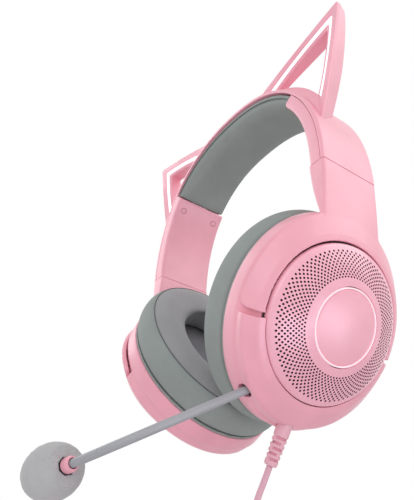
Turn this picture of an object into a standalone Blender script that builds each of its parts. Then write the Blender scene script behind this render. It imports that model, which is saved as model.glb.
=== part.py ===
"""Over-ear gaming headset with lit ears, a boom microphone and a coiled lead.

Metres, +Z up. The wearer looks along -Y and +X is their left, the side with the microphone.
The origin lies on the underside of the headband pad, below the crown.
"""
import math

import bmesh
import bpy
from mathutils import Matrix, Vector

# Clearances
GAP = 0.0003
SWING_GAP = 0.0009

# Facets
ARCH_STEPS = 30
PAD_STEPS = 20
CAP_STEPS = 9
OVAL_STEPS = 32
TURN_STEPS = 24
SMALL_STEPS = 8
EDGE_STEPS = 6
SHARP_ANGLE = math.radians(32)
CORD_SIDES = 2
THIN_SIDES = 1

# Headband arch, measured on its outer face
ARCH_HALF_SPAN = 0.0768
ARCH_RISE = 0.0858
ARCH_SQUARENESS = 2.22
BAND_DEPTH = 0.0354
BAND_WALL = 0.0022
BAND_EDGE = 0.0012

# Headband pad, with a channel for the spring and the wire on its upper side
PAD_THICKNESS = 0.0115
PAD_END_ANGLE = math.radians(41.8)
PAD_DRAW_IN = 0.0012
PAD_CROWN = ((0.0, 1.0), (0.57, 0.97), (0.90, 0.82), (1.05, 0.46))
PAD_CHANNEL_DEPTH = 0.0022
PAD_CHANNEL_FRONT = -0.0072
PAD_CHANNEL_REAR = 0.0102
SPRING_WIDTH = 0.0120
SPRING_THICKNESS = 0.0008
WIRE_RADIUS = 0.0007
WIRE_Y = 0.0085

# End caps under the arch's ends, and their screws
CAP_THICKNESS = 0.0070
CAP_FLOOR = 0.0020
CAP_EDGE = 0.0012
CAP_CHANNEL_HALF = 0.0085
SCREW_ANGLE = math.radians(35.4)
SCREW_Y = 0.0120
SCREW_HEAD_RADIUS = 0.0017
SCREW_HEAD_HEIGHT = 0.0010
SCREW_SHANK_RADIUS = 0.0008
SCREW_LENGTH = 0.0046

# Levels that follow from the band
PAD_TOP = BAND_WALL + GAP
ARCH_TOP_Z = PAD_TOP + PAD_THICKNESS
ARCH_Z = ARCH_TOP_Z - ARCH_RISE

# Ears, in the plane of the arch
EAR_OUTER_ANGLE = math.radians(19.2)
EAR_BACK_ANGLE = math.radians(25.0)
EAR_INNER_ANGLE = math.radians(78.5)
EAR_TIP_X = 0.0920
EAR_TIP_RISE = 0.1066
EAR_TIP_RADIUS = 0.0016
EAR_BOW_INNER = 0.0016
EAR_BOW_OUTER = 0.0013
EAR_FRONT_Y = -0.0127
EAR_DEPTH = 0.0150
EAR_DISH = 0.30
EAR_FULL_X = 0.0800
EAR_TIP_SHARE = 0.20
EAR_SWELL_POWER = 0.30
EAR_BEZEL = 0.0018
EAR_PARTING = 0.0006
EAR_FOOT_GAP = 0.0007
EAR_BACK_INSET = 0.0026
EAR_SIDE_INSET = 0.0008
EAR_SIDE_SHARE = 0.85
EAR_FRAME = 0.0080
EAR_WEB = 0.0045
EAR_LIGHT_INSET = 0.0039
EAR_LIGHT_WIDTH = 0.0030
EAR_LIGHT_DEPTH = 0.0010
EAR_LIGHT_LIFT = 0.0053

# Ear cups: an oval shell that closes to a round lip, leaning in at the bottom
CUP_CANT = math.radians(29.0)
CUP_HALF_U = 0.0435
CUP_HALF_V = 0.0502
CUP_TOP_BELOW_SEAM = 0.0213
CUP_TOP_INWARD = 0.0118
CUP_X = ARCH_HALF_SPAN - CUP_TOP_INWARD - CUP_HALF_V * math.sin(CUP_CANT)
CUP_DROP = CUP_TOP_BELOW_SEAM + CUP_HALF_V * math.cos(CUP_CANT)
CUP_WALL = 0.0025
SHOULDER_W = 0.0084
SHOULDER_STEPS = 4
SHOULDER_BULGE = 0.04
LIP_W = 0.0176
DISC_RADIUS = 0.0357
LIP_MARGIN = 0.0015
LIP_RADIUS = DISC_RADIUS + LIP_MARGIN
CAVITY_RADIUS = 0.0340

# Domed grille, light ring and centre cap on the lip
DISC_RIM_W = 0.0211
GRILLE_INNER_W = 0.0276
GRILLE_INNER_RADIUS = 0.0211
GRILLE_HOLE_RADIUS = 0.0176
GRILLE_WALL = 0.0016
RING_OUTER_RADIUS = 0.0172
RING_INNER_RADIUS = 0.0156
EMBLEM_RADIUS = 0.0152
EMBLEM_WALL = 0.0018
EMBLEM_SINK = 0.0006
BOARD_THICKNESS = 0.0014

# Baffle, driver, cloth and cushion, inward of the cup's rim
BAFFLE_TOP = -GAP
BAFFLE_BOTTOM = -0.0013
BAFFLE_INSET = 0.0004
BAFFLE_HOLE = 0.0256
DRIVER_FLANGE_RADIUS = 0.0280
DRIVER_FLANGE = 0.0012
DRIVER_RADIUS = 0.0245
DRIVER_MOUTH = 0.0235
MAGNET_RADIUS = 0.0145
BELL_SHARE = 0.40
MAGNET_BASE_W = 0.0062
MAGNET_TOP_W = 0.0106
DIAPHRAGM_RADIUS = 0.0224
DIAPHRAGM_RISE = 0.0010
DIAPHRAGM_EDGE_RISE = 0.0007
DIAPHRAGM_WALL = 0.0007
CLOTH_THICKNESS = 0.0005
CLOTH_INSET = 0.0006
CUSHION_FACE_W = -0.0205
CUSHION_SEAM_W = -0.0180
CUSHION_SEAM_INSET = 0.0018
CUSHION_OVERHANG = 0.0022
CUSHION_HOLE_U = 0.0210
CUSHION_HOLE_V = 0.0310
CUSHION_FLARE = 0.0030
CUSHION_SIDE_SHARES = (0.20, 0.50, 0.78)
CUSHION_CROWN = ((0.20, 0.15), (0.50, 0.0), (0.80, 0.28))
CUSHION_MOUTH_SHARE = 0.25
CUSHION_WAIST_SHARE = 0.55

# Circuit board under the left shell's lip
CIRCUIT_LENGTH = 0.0300
CIRCUIT_WIDTH = 0.0180
CIRCUIT_V = 0.0160

# Yoke: an arm that slides in the arch's end and a fork round the grille
PIVOT_V = -0.0025
PIVOT_W = 0.0134
PIN_RADIUS = 0.0015
PIN_OUTER_U = CUP_HALF_U - 0.0013
PIN_INNER_U = CUP_HALF_U - 0.0063
FORK_GAP = 0.0010
FORK_WALL = 0.0026
FORK_INNER_WALL = 0.0018
FORK_CORNER = ((0.0, 0.28, 1.0), (0.0009, 0.08, 0.8), (0.0030, 0.0, 0.5))
FORK_LEAN = math.radians(3.0)
FORK_SLOT = 0.0025
FORK_END_V = -0.0060
FORK_RIM_SHARE = 0.16
FORK_STEPS = 24
RAISED_RIM_SHARE = 0.02
RAISED_SINK = 0.0005
RAISED_STEPS = 24
ARM_TOP_THICKNESS = 0.0095
ARM_FOOT_TURN = math.radians(24.5)
ARM_FOOT_INSET = 0.12
ARM_INNER_INSET = 0.30
ARM_TOP_PULL = 0.040
ARM_INNER_PULL = 0.048
ARM_FOOT_PULL = 0.014
ARM_STEPS = 7
ARM_COLUMNS = 6
SLIDE_LEAN = math.radians(9.5)
STRIP_WIDTH = 0.0120
STRIP_THICKNESS = 0.0010
STRIP_ABOVE = 0.0380
STRIP_BELOW = 0.0120
STRIP_INSET = 0.0042

# Microphone: straight boom in the left cup's plane, bent toward the mouth at its end
PORT_U = -0.634 * CUP_HALF_U
PORT_V = -0.781 * CUP_HALF_V
PORT_W = 0.0094
BOOM_HEADING = math.radians(214.0)
BOOM_RADIUS = 0.00185
BOOM_INSIDE = 0.0090
BOOM_STRAIGHT = 0.0380
BOOM_BEND_RADIUS = 0.0360
BOOM_BEND = math.radians(70)
BOOM_BEND_ROLL = math.radians(25)
BOOM_BEND_STEPS = 9
PORT_RADIUS = 0.0032
PORT_BORE = 0.0022
PORT_OUTSIDE = 0.0004
PORT_INSIDE = 0.0044
COLLAR_RADIUS = 0.0033
COLLAR_NECK_RADIUS = 0.0027
COLLAR_LENGTH = 0.0050
COLLAR_SOCKET = 0.0030
CAPSULE_RADIUS = 0.0040
CAPSULE_LENGTH = 0.0090
FOAM_RADIUS = 0.0118
FOAM_LENGTH = 0.0320
FOAM_STEPS = 7
FOAM_START_SHARE = 0.18
FOAM_END_SHARE = 0.95
FOAM_SWELL_POWER = 0.62

# Volume wheel in the left shell's lower rear edge
WHEEL_RADIUS = 0.0090
WHEEL_U = 0.409 * CUP_HALF_U
WHEEL_V = -0.724 * CUP_HALF_V
WHEEL_BOTTOM_W = 0.0056
WHEEL_TOP_W = 0.0088
WHEEL_AXLE_RADIUS = 0.0016

# Strain relief under the left cup
RELIEF_U = -0.0018
RELIEF_V = 0.0078 - CUP_HALF_V
RELIEF_W = 0.0114
RELIEF_LEAN = math.radians(4)
RELIEF_RADIUS = 0.0034
RELIEF_GROOVE_RADIUS = 0.0028
RELIEF_LENGTH = 0.0235
RELIEF_PLAIN = 0.0105
RELIEF_GROOVES = 5

# Lead: hangs from the relief, is wound and tied, and ends in a plug
CORD_RADIUS = 0.0014
CORD_LENGTH = 2.0
CORD_DROP = 0.0480
CORD_STRAIGHT = 0.0160
CORD_POINT_STEP = 0.0060
COIL_TURNS = 18
COIL_LAYERS = 4
COIL_CLIMB = 0.5
COIL_MEAN_RADIUS = 0.016897
COIL_PITCH = 0.00382
COIL_POINTS = 24
COIL_CHECK_SPLIT = 3
TAIL_LENGTH = 0.0260
TAIL_STEPS = 4
TIE_WALL = 0.0012
TIE_WIDTH = 0.0090
TIE_SLACK = 0.0005

# Plug
PLUG_COVER_LENGTH = 0.0240
PLUG_COVER_WIDTH = 0.0160
PLUG_COVER_HEIGHT = 0.0080
PLUG_SHELL_LENGTH = 0.0120
PLUG_SHELL_WIDTH = 0.0120
PLUG_SHELL_HEIGHT = 0.0045
PLUG_SHELL_WALL = 0.0004
PLUG_TONGUE_HEIGHT = 0.0018
PLUG_EDGE = 0.0007

LOOKS = {
    "pink": ((0.905, 0.520, 0.610), 0.42, 0.0),
    "pink_light": ((0.960, 0.560, 0.650), 0.40, 0.0),
    "leatherette": ((0.300, 0.330, 0.320), 0.62, 0.0),
    "fabric": ((0.340, 0.350, 0.350), 0.95, 0.0),
    "foam": ((0.420, 0.420, 0.420), 0.98, 0.0),
    "boom": ((0.380, 0.385, 0.400), 0.55, 0.0),
    "rubber": ((0.770, 0.440, 0.520), 0.60, 0.0),
    "light": ((0.960, 0.960, 0.960), 0.30, 0.0),
    "steel": ((0.560, 0.570, 0.580), 0.30, 1.0),
    "black": ((0.030, 0.030, 0.032), 0.60, 0.0),
    "board": ((0.050, 0.180, 0.080), 0.50, 0.0),
}


def clear_scene():
    """Remove every object the scene starts with."""
    for thing in list(bpy.data.objects):
        bpy.data.objects.remove(thing)


def make_looks():
    """One Principled material for each named look."""
    made = {}
    for name, (colour, roughness, metallic) in LOOKS.items():
        look = bpy.data.materials.new(name)
        look.use_nodes = True
        shader = look.node_tree.nodes["Principled BSDF"]
        shader.inputs["Base Color"].default_value = (*colour, 1.0)
        shader.inputs["Roughness"].default_value = roughness
        shader.inputs["Metallic"].default_value = metallic
        made[name] = look
    return made


def add(name, mesh, look, parent=None, offset=Vector()):
    """Turn a bmesh into a named, smooth-shaded object."""
    data = bpy.data.meshes.new(name)
    mesh.normal_update()
    bmesh.ops.recalc_face_normals(mesh, faces=mesh.faces)
    mesh.to_mesh(data)
    mesh.free()
    data.materials.append(looks[look])
    data.shade_smooth()
    data.set_sharp_from_angle(angle=SHARP_ANGLE)
    return place(bpy.data.objects.new(name, data), parent, offset)


def place(thing, parent, offset=Vector()):
    """Link an object, under an empty where one is given."""
    bpy.context.scene.collection.objects.link(thing)
    thing.parent = parent
    thing.location = offset
    return thing


def pivot(name, matrix):
    """An empty on a joint's axis, for the pieces that move with it."""
    empty = place(bpy.data.objects.new(name, None), None)
    empty.matrix_world = matrix
    return empty


def boolean(target, tool, operation):
    """Cut a tool out of an object, or join the tool to it."""
    tool.hide_render = True
    tool.display_type = "WIRE"
    step = target.modifiers.new(tool.name, "BOOLEAN")
    step.operation = operation
    step.solver = "EXACT"
    step.use_self = operation == "UNION"
    step.object = tool


def skin(rings, looped=False):
    """Closed mesh over equal rings of points, capped at both ends or joined into a loop."""
    mesh = bmesh.new()
    rows = [[mesh.verts.new(point) for point in ring] for ring in rings]
    pairs = list(zip(rows, rows[1:]))
    if looped:
        pairs.append((rows[-1], rows[0]))
    else:
        mesh.faces.new(rows[0])
        mesh.faces.new(rows[-1])
    for low, high in pairs:
        for this in range(len(low)):
            after = (this + 1) % len(low)
            mesh.faces.new((low[this], low[after], high[after], high[this]))
    return mesh


def oval(half_u, half_v, level, steps=OVAL_STEPS):
    """Ring of points on an oval at one level."""
    turns = [math.tau * step / steps for step in range(steps)]
    return [Vector((half_u * math.cos(turn), half_v * math.sin(turn), level)) for turn in turns]


def turned(profile, steps=TURN_STEPS):
    """Solid turned round Z from (radius, level) points; its ends are flat discs."""
    return skin([oval(radius, radius, level, steps) for radius, level in profile])


def moved(mesh, matrix):
    """The same mesh in another frame."""
    mesh.transform(matrix)
    return mesh


def box(size, centre):
    """Block of a given size about a centre."""
    mesh = bmesh.new()
    bmesh.ops.create_cube(mesh, size=1.0)
    mesh.transform(Matrix.Translation(centre) @ Matrix.Diagonal((*size, 1.0)))
    return mesh


def soft_bar(width, height, length, edge):
    """Bar down from the origin along Z, with rounded corners and ends."""
    rings = []
    for shrink, level in ((edge, 0.0), (0.0, edge), (0.0, length - edge), (edge, length)):
        x = width / 2 - shrink
        y = height / 2 - shrink
        right = [(x - edge, -y), (x, edge - y), (x, y - edge), (x - edge, y)]
        ring = right + [(-across, deep) for across, deep in reversed(right)]
        rings.append([Vector((across, deep, -level)) for across, deep in ring])
    return skin(rings)


def along(start, direction):
    """Frame at a point with its Z along a direction."""
    turn = Vector(direction).to_track_quat("Z", "Y").to_matrix().to_4x4()
    return Matrix.Translation(start) @ turn


def tube(name, points, radius, sides, look, parent=None, offset=Vector()):
    """Round bar through points, with closed ends."""
    curve = bpy.data.curves.new(name, "CURVE")
    curve.dimensions = "3D"
    curve.bevel_depth = radius
    curve.bevel_resolution = sides
    curve.use_fill_caps = True
    line = curve.splines.new("POLY")
    line.points.add(len(points) - 1)
    for spot, point in zip(line.points, points):
        spot.co = (*point, 1.0)
    curve.materials.append(looks[look])
    return place(bpy.data.objects.new(name, curve), parent, offset)


def smooth_route(knots, spacing):
    """Points a steady distance apart on a smooth curve through the knots."""
    padded = [2 * knots[0] - knots[1], *knots, 2 * knots[-1] - knots[-2]]
    fine = [knots[0]]
    for before, first, last, after in zip(padded, padded[1:], padded[2:], padded[3:]):
        steps = max(2, round((last - first).length / spacing))
        for step in range(1, steps + 1):
            share = step / steps
            bend = (last - before) * share + (2 * before - 5 * first + 4 * last - after) * share ** 2
            bend += (3 * first - before - 3 * last + after) * share ** 3
            fine.append(first + bend / 2)
    return fine


def blend(low, high, share):
    """Value part of the way from low to high."""
    return low + (high - low) * share


def arch_point(angle, lift=0.0):
    """Point on the arch's outer face, or a lift above it."""
    power = 2 / ARCH_SQUARENESS
    across = math.copysign(abs(math.cos(angle)) ** power, math.cos(angle))
    rise = abs(math.sin(angle)) ** power
    return Vector(((ARCH_HALF_SPAN + lift) * across, 0.0, ARCH_Z + (ARCH_RISE + lift) * rise))


def arch_inward(angle):
    """Unit normal of the arch, pointing to the head."""
    point = arch_point(angle)
    power = ARCH_SQUARENESS - 1
    across = math.copysign((abs(point.x) / ARCH_HALF_SPAN) ** power, point.x) / ARCH_HALF_SPAN
    rise = (abs(point.z - ARCH_Z) / ARCH_RISE) ** power / ARCH_RISE
    return -Vector((across, 0.0, rise)).normalized()


def arch_ring(angle, section):
    """Ring of (y, depth) points set on the arch."""
    start = arch_point(angle)
    inward = arch_inward(angle)
    return [start + inward * depth + Vector((0.0, y, 0.0)) for y, depth in section]


def spread(low, high, steps):
    """Even values from low to high."""
    return [blend(low, high, step / steps) for step in range(steps + 1)]


def band_section():
    """Plate with rounded outer edges."""
    half = BAND_DEPTH / 2
    right = [(half - BAND_EDGE, 0.0), (half, BAND_EDGE), (half, BAND_WALL)]
    return [(-y, depth) for y, depth in reversed(right)] + right


def pad_section(angle):
    """Crowned pad with drawn-in sides and a channel in its top."""
    half = BAND_DEPTH / 2
    share = (math.sin(angle) - math.sin(PAD_END_ANGLE)) / (1 - math.sin(PAD_END_ANGLE))
    thick = blend(CAP_THICKNESS, PAD_THICKNESS, share)
    right = [(half * y, PAD_TOP + thick * depth) for y, depth in PAD_CROWN]
    right.append((half - PAD_DRAW_IN, PAD_TOP))
    left = [(-y, depth) for y, depth in reversed(right[1:])]
    floor = PAD_TOP + PAD_CHANNEL_DEPTH
    channel = [(PAD_CHANNEL_REAR, PAD_TOP), (PAD_CHANNEL_REAR, floor)]
    channel += [(PAD_CHANNEL_FRONT, floor), (PAD_CHANNEL_FRONT, PAD_TOP)]
    return left + right + channel


def cap_section():
    """Channel that closes the arch's end and guides the slider."""
    half = BAND_DEPTH / 2
    floor = PAD_TOP + CAP_THICKNESS
    right = [(half - CAP_EDGE, floor), (half, floor - CAP_EDGE), (half, PAD_TOP)]
    right += [(CAP_CHANNEL_HALF, PAD_TOP), (CAP_CHANNEL_HALF, floor - CAP_FLOOR)]
    return right + [(-y, depth) for y, depth in reversed(right)]


def make_headband():
    """Arch plate, pad, spring and the wire that links the two cups."""
    whole = spread(0.0, math.pi, ARCH_STEPS)
    add("headband_shell", skin([arch_ring(angle, band_section()) for angle in whole]), "pink")
    middle = spread(PAD_END_ANGLE, math.pi - PAD_END_ANGLE, PAD_STEPS)
    pad = skin([arch_ring(angle, pad_section(angle)) for angle in middle])
    add("headband_pad", pad, "leatherette")
    top = PAD_TOP
    low = PAD_TOP + SPRING_THICKNESS
    half = SPRING_WIDTH / 2
    strip = [(-half, top), (half, top), (half, low), (-half, low)]
    add("spring_band", skin([arch_ring(angle, strip) for angle in middle]), "steel")
    depth = PAD_TOP + WIRE_RADIUS
    line = [arch_ring(angle, [(WIRE_Y, depth)])[0] for angle in middle]
    tube("harness_wire", line, WIRE_RADIUS, THIN_SIDES, "black")


def screw_profile(margin):
    """Head and shank of a cap screw, from the tip up."""
    return [
        (SCREW_SHANK_RADIUS + margin, -SCREW_LENGTH - margin),
        (SCREW_SHANK_RADIUS + margin, -SCREW_HEAD_HEIGHT - margin),
        (SCREW_HEAD_RADIUS + margin, -SCREW_HEAD_HEIGHT - margin),
        (SCREW_HEAD_RADIUS + margin, 0.0 if margin == 0 else SCREW_HEAD_HEIGHT),
    ]


def make_end_cap(side, mirrored):
    """Cap under one end of the arch, held by two screws."""
    clear = GAP / ARCH_RISE
    angles = spread(0.0, PAD_END_ANGLE - clear, CAP_STEPS)
    if mirrored:
        angles = [math.pi - angle for angle in angles]
    cap = add(f"end_cap_{side}", skin([arch_ring(a, cap_section()) for a in angles]), "pink")
    angle = math.pi - SCREW_ANGLE if mirrored else SCREW_ANGLE
    inward = arch_inward(angle)
    seat = arch_point(angle) + inward * (PAD_TOP + CAP_THICKNESS)
    for end, y in (("front", -SCREW_Y), ("rear", SCREW_Y)):
        frame = along(seat + Vector((0.0, y, 0.0)), inward)
        hole = moved(turned(screw_profile(GAP), SMALL_STEPS), frame)
        boolean(cap, add(f"cut_screw_{side}_{end}", hole, "pink"), "DIFFERENCE")
        screw = moved(turned(screw_profile(0.0), SMALL_STEPS), frame)
        add(f"end_cap_screw_{side}_{end}", screw, "pink_light")


def over_arch(point, lift):
    """Positive outside the lifted arch, negative inside it."""
    across = abs(point.x) / (ARCH_HALF_SPAN + lift)
    rise = abs(point.z - ARCH_Z) / (ARCH_RISE + lift)
    return across ** ARCH_SQUARENESS + rise ** ARCH_SQUARENESS - 1


def reach_arch(start, direction, lift):
    """Where a line from outside first meets the lifted arch."""
    near = 0.0
    far = EAR_TIP_RISE - EAR_DEPTH
    while far - near > GAP / 100:
        middle = (near + far) / 2
        if over_arch(start + direction * middle, lift) > 0:
            near = middle
        else:
            far = middle
    return start + direction * near


def ear_edges(inset, lift, outer_angle=EAR_OUTER_ANGLE):
    """The two sides of an ear, each from its foot to the tip, drawn in by an inset."""
    tip = Vector((EAR_TIP_X, 0.0, ARCH_Z + EAR_TIP_RISE))
    inner = (arch_point(EAR_INNER_ANGLE) - tip).normalized()
    outer = (arch_point(outer_angle) - tip).normalized()
    middle = (inner + outer).normalized()
    tip += middle * inset / math.sin(inner.angle(outer) / 2)
    sides = []
    for direction, bow in ((inner, EAR_BOW_INNER), (outer, EAR_BOW_OUTER)):
        foot = reach_arch(tip, direction, lift)
        out = (direction - middle * direction.dot(middle)).normalized()
        start = tip + direction * EAR_TIP_RADIUS
        shares = spread(0.0, 1.0, EDGE_STEPS)
        sides.append([foot.lerp(start, s) + out * bow * 4 * s * (1 - s) for s in shares])
    return sides


def ear_outline(inset, lift, outer_angle):
    """Closed outline of an ear: up one side, down the other and back along the arch."""
    inner, outer = ear_edges(inset, lift, outer_angle)
    power = ARCH_SQUARENESS / 2
    span = ARCH_HALF_SPAN + lift
    ends = [math.acos((point.x / span) ** power) for point in (outer[0], inner[0])]
    base = [arch_point(angle, lift) for angle in spread(*ends, EDGE_STEPS + 2)]
    return inner + outer[::-1] + base[1:-1]


def ear_depth(point):
    """Depth of an ear behind its front ridge: thin at the tip and toward the crown."""
    tip = Vector((EAR_TIP_X, 0.0, ARCH_Z + EAR_TIP_RISE))
    reach = (arch_point(EAR_OUTER_ANGLE) - tip).length
    swell = min(1.0, (point - tip).length / reach) ** EAR_SWELL_POWER
    crown = arch_point(EAR_INNER_ANGLE).x
    share = min(1.0, max(0.0, (point.x - crown) / (EAR_FULL_X - crown)))
    return EAR_DEPTH * blend(EAR_TIP_SHARE, 1.0, swell * share)


def even(depth):
    """Rule that gives every point one depth."""
    return lambda point: depth


def ear_frame(outlines, mirrored):
    """Frame of an ear from outlines of (inset, lift, outer angle, rule for the depth)."""
    rings = []
    for inset, lift, outer_angle, rule in outlines:
        outline = ear_outline(inset, lift, outer_angle)
        rings.append([point + Vector((0.0, EAR_FRONT_Y + rule(point), 0.0)) for point in outline])
    return mirror_x(skin(list(map(list, zip(*rings))), looped=True), mirrored)


def mirror_x(mesh, mirrored):
    """The mesh, or its mirror image across the middle of the head."""
    if mirrored:
        mesh.transform(Matrix.Diagonal((-1.0, 1.0, 1.0, 1.0)))
    return mesh


def ear_strip(margin, ahead, behind, mirrored):
    """Bent strip that follows both sides of an ear on its dished face."""
    runs = []
    for inset in (EAR_LIGHT_INSET - margin, EAR_LIGHT_INSET + EAR_LIGHT_WIDTH + margin):
        inner, outer = ear_edges(inset, EAR_LIGHT_LIFT - margin)
        level = Vector((0.0, EAR_FRONT_Y + EAR_DISH * inset, 0.0))
        runs.append([point + level for point in inner + outer[::-1]])
    front = Vector((0.0, ahead, 0.0))
    back = Vector((0.0, behind, 0.0))
    rings = [[near + front, far + front, far + back, near + back] for near, far in zip(*runs)]
    return mirror_x(skin(rings), mirrored)


def make_ear(side, mirrored):
    """Rear shell, dished front bezel and the light strip set in it."""
    parting = EAR_BEZEL + EAR_PARTING
    sink = EAR_DISH * EAR_FRAME
    web = EAR_WEB + GAP
    front_foot = EAR_OUTER_ANGLE
    back_foot = EAR_BACK_ANGLE
    shell = [(0.0, EAR_FOOT_GAP, front_foot, even(parting))]
    shell.append((EAR_SIDE_INSET, EAR_FOOT_GAP, back_foot,
                  lambda point: blend(parting, ear_depth(point), EAR_SIDE_SHARE)))
    shell.append((EAR_BACK_INSET, EAR_FOOT_GAP, back_foot, ear_depth))
    shell.append((EAR_FRAME, web, front_foot, ear_depth))
    shell.append((EAR_FRAME, web, front_foot, even(sink + parting)))
    add(f"ear_shell_{side}", ear_frame(shell, mirrored), "pink_light")
    front = [(EAR_TIP_RADIUS / 4, GAP, front_foot, even(0.0))]
    front.append((0.0, GAP, front_foot, even(EAR_TIP_RADIUS / 2)))
    front.append((0.0, GAP, front_foot, even(EAR_BEZEL)))
    front.append((EAR_FRAME, web, front_foot, even(sink + EAR_BEZEL)))
    front.append((EAR_FRAME, web, front_foot, even(sink)))
    bezel = add(f"ear_bezel_{side}", ear_frame(front, mirrored), "pink")
    groove = ear_strip(GAP, -EAR_BEZEL, EAR_LIGHT_DEPTH + GAP, mirrored)
    boolean(bezel, add(f"cut_ear_{side}", groove, "pink"), "DIFFERENCE")
    add(f"ear_light_{side}", ear_strip(0.0, GAP, EAR_LIGHT_DEPTH, mirrored), "light")


def shoulder(share):
    """Half axes and level on the cup's shoulder, from its rim to the lip."""
    rise = share + SHOULDER_BULGE * 4 * share * (1 - share)
    half_u = blend(CUP_HALF_U, LIP_RADIUS, share)
    half_v = blend(CUP_HALF_V, LIP_RADIUS, share)
    return half_u, half_v, blend(SHOULDER_W, LIP_W, rise)


def dome_level(radius):
    """Level of the grille's dome, a sphere through its rim and its inner circle."""
    lean = DISC_RADIUS ** 2 - GRILLE_INNER_RADIUS ** 2
    lift = GRILLE_INNER_W ** 2 - DISC_RIM_W ** 2
    centre = (lift - lean) / (2 * (GRILLE_INNER_W - DISC_RIM_W))
    ball = math.hypot(DISC_RADIUS, DISC_RIM_W - centre)
    return centre + math.sqrt(ball ** 2 - radius ** 2)


def face_and_back(side):
    """The cup's two pivots and the way each lies along u."""
    front = -1 if side == "left" else 1
    return (("front", front), ("rear", -front))


def make_cup_shell(side, parent, offset):
    """Bowl that carries everything in the cup, with holes for the pivot pins."""
    shares = spread(1.0, 0.0, SHOULDER_STEPS)
    rings = [oval(*shoulder(share)) for share in shares]
    rings.append(oval(CUP_HALF_U, CUP_HALF_V, 0.0))
    inner_u = CUP_HALF_U - CUP_WALL
    inner_v = CUP_HALF_V - CUP_WALL
    rings.append(oval(inner_u, inner_v, 0.0))
    for share in shares[:0:-1]:
        half_u, half_v, level = shoulder(share)
        rings.append(oval(half_u - CUP_WALL, half_v - CUP_WALL, level - CUP_WALL / 2))
    rings.append(oval(CAVITY_RADIUS, CAVITY_RADIUS, LIP_W - CUP_WALL))
    shell = add(f"cup_shell_{side}", skin(rings), "pink", parent, offset)
    first = fork_stations()[0][0] - FORK_SLOT / CUP_HALF_U
    turns = spread(first, -math.pi - first, RAISED_STEPS)
    leans = [FORK_LEAN] + [0.0] * (len(turns) - 2) + [-FORK_LEAN]
    raised = skin([raised_section(turn, lean) for turn, lean in zip(turns, leans)])
    boolean(shell, add(f"join_raised_{side}", raised, "pink", parent, offset), "UNION")
    for end, sign in face_and_back(side):
        radius = PIN_RADIUS + GAP
        frame = along((sign * CAVITY_RADIUS, PIVOT_V, PIVOT_W), (sign, 0, 0))
        hole = moved(turned([(radius, 0.0), (radius, PIN_OUTER_U)], SMALL_STEPS), frame)
        boolean(shell, add(f"cut_pin_{side}_{end}", hole, "pink", parent, offset), "DIFFERENCE")
    return shell


def make_grille(side, parent, offset):
    """Domed grille, light ring, centre cap and the board that lights them."""
    foot = LIP_W + GAP
    radii = spread(DISC_RADIUS, GRILLE_HOLE_RADIUS, SHOULDER_STEPS)
    top = [(radius, dome_level(radius)) for radius in radii]
    inside = [(radius, level - GRILLE_WALL) for radius, level in top[:0:-1]]
    wall = DISC_RADIUS - GRILLE_WALL
    profile = [(DISC_RADIUS, foot), *top, *inside, (wall, DISC_RIM_W - GRILLE_WALL), (wall, foot)]
    add(f"grille_{side}", turned_ring(profile), "pink_light", parent, offset)
    tops = [(r, dome_level(r) - GAP) for r in (RING_OUTER_RADIUS, RING_INNER_RADIUS)]
    ring = [(RING_OUTER_RADIUS, foot), *tops, (RING_INNER_RADIUS, foot)]
    add(f"light_ring_{side}", turned_ring(ring), "light", parent, offset)
    board = foot + BOARD_THICKNESS
    disc = turned([(EMBLEM_RADIUS, foot), (EMBLEM_RADIUS, board)])
    add(f"led_board_{side}", disc, "board", parent, offset)
    bore = EMBLEM_RADIUS - EMBLEM_WALL
    rim = dome_level(EMBLEM_RADIUS) - EMBLEM_SINK
    cap = [(bore, rim - EMBLEM_WALL), (bore, board + GAP), (EMBLEM_RADIUS, board + GAP)]
    cap += [(r, dome_level(r) - EMBLEM_SINK) for r in spread(EMBLEM_RADIUS, EMBLEM_RADIUS / 4, 3)]
    add(f"emblem_cap_{side}", turned(cap), "pink_light", parent, offset)


def turned_ring(profile, steps=TURN_STEPS):
    """Ring turned round Z from a closed (radius, level) outline clear of the axis."""
    rings = []
    for step in range(steps):
        turn = Matrix.Rotation(math.tau * step / steps, 4, "Z")
        rings.append([turn @ Vector((radius, 0.0, level)) for radius, level in profile])
    return skin(rings, looped=True)


def oval_ring(section):
    """Oval ring from a closed list of (half u, half v, level)."""
    loops = [oval(*point) for point in section]
    return skin(list(map(list, zip(*loops))), looped=True)


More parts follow.
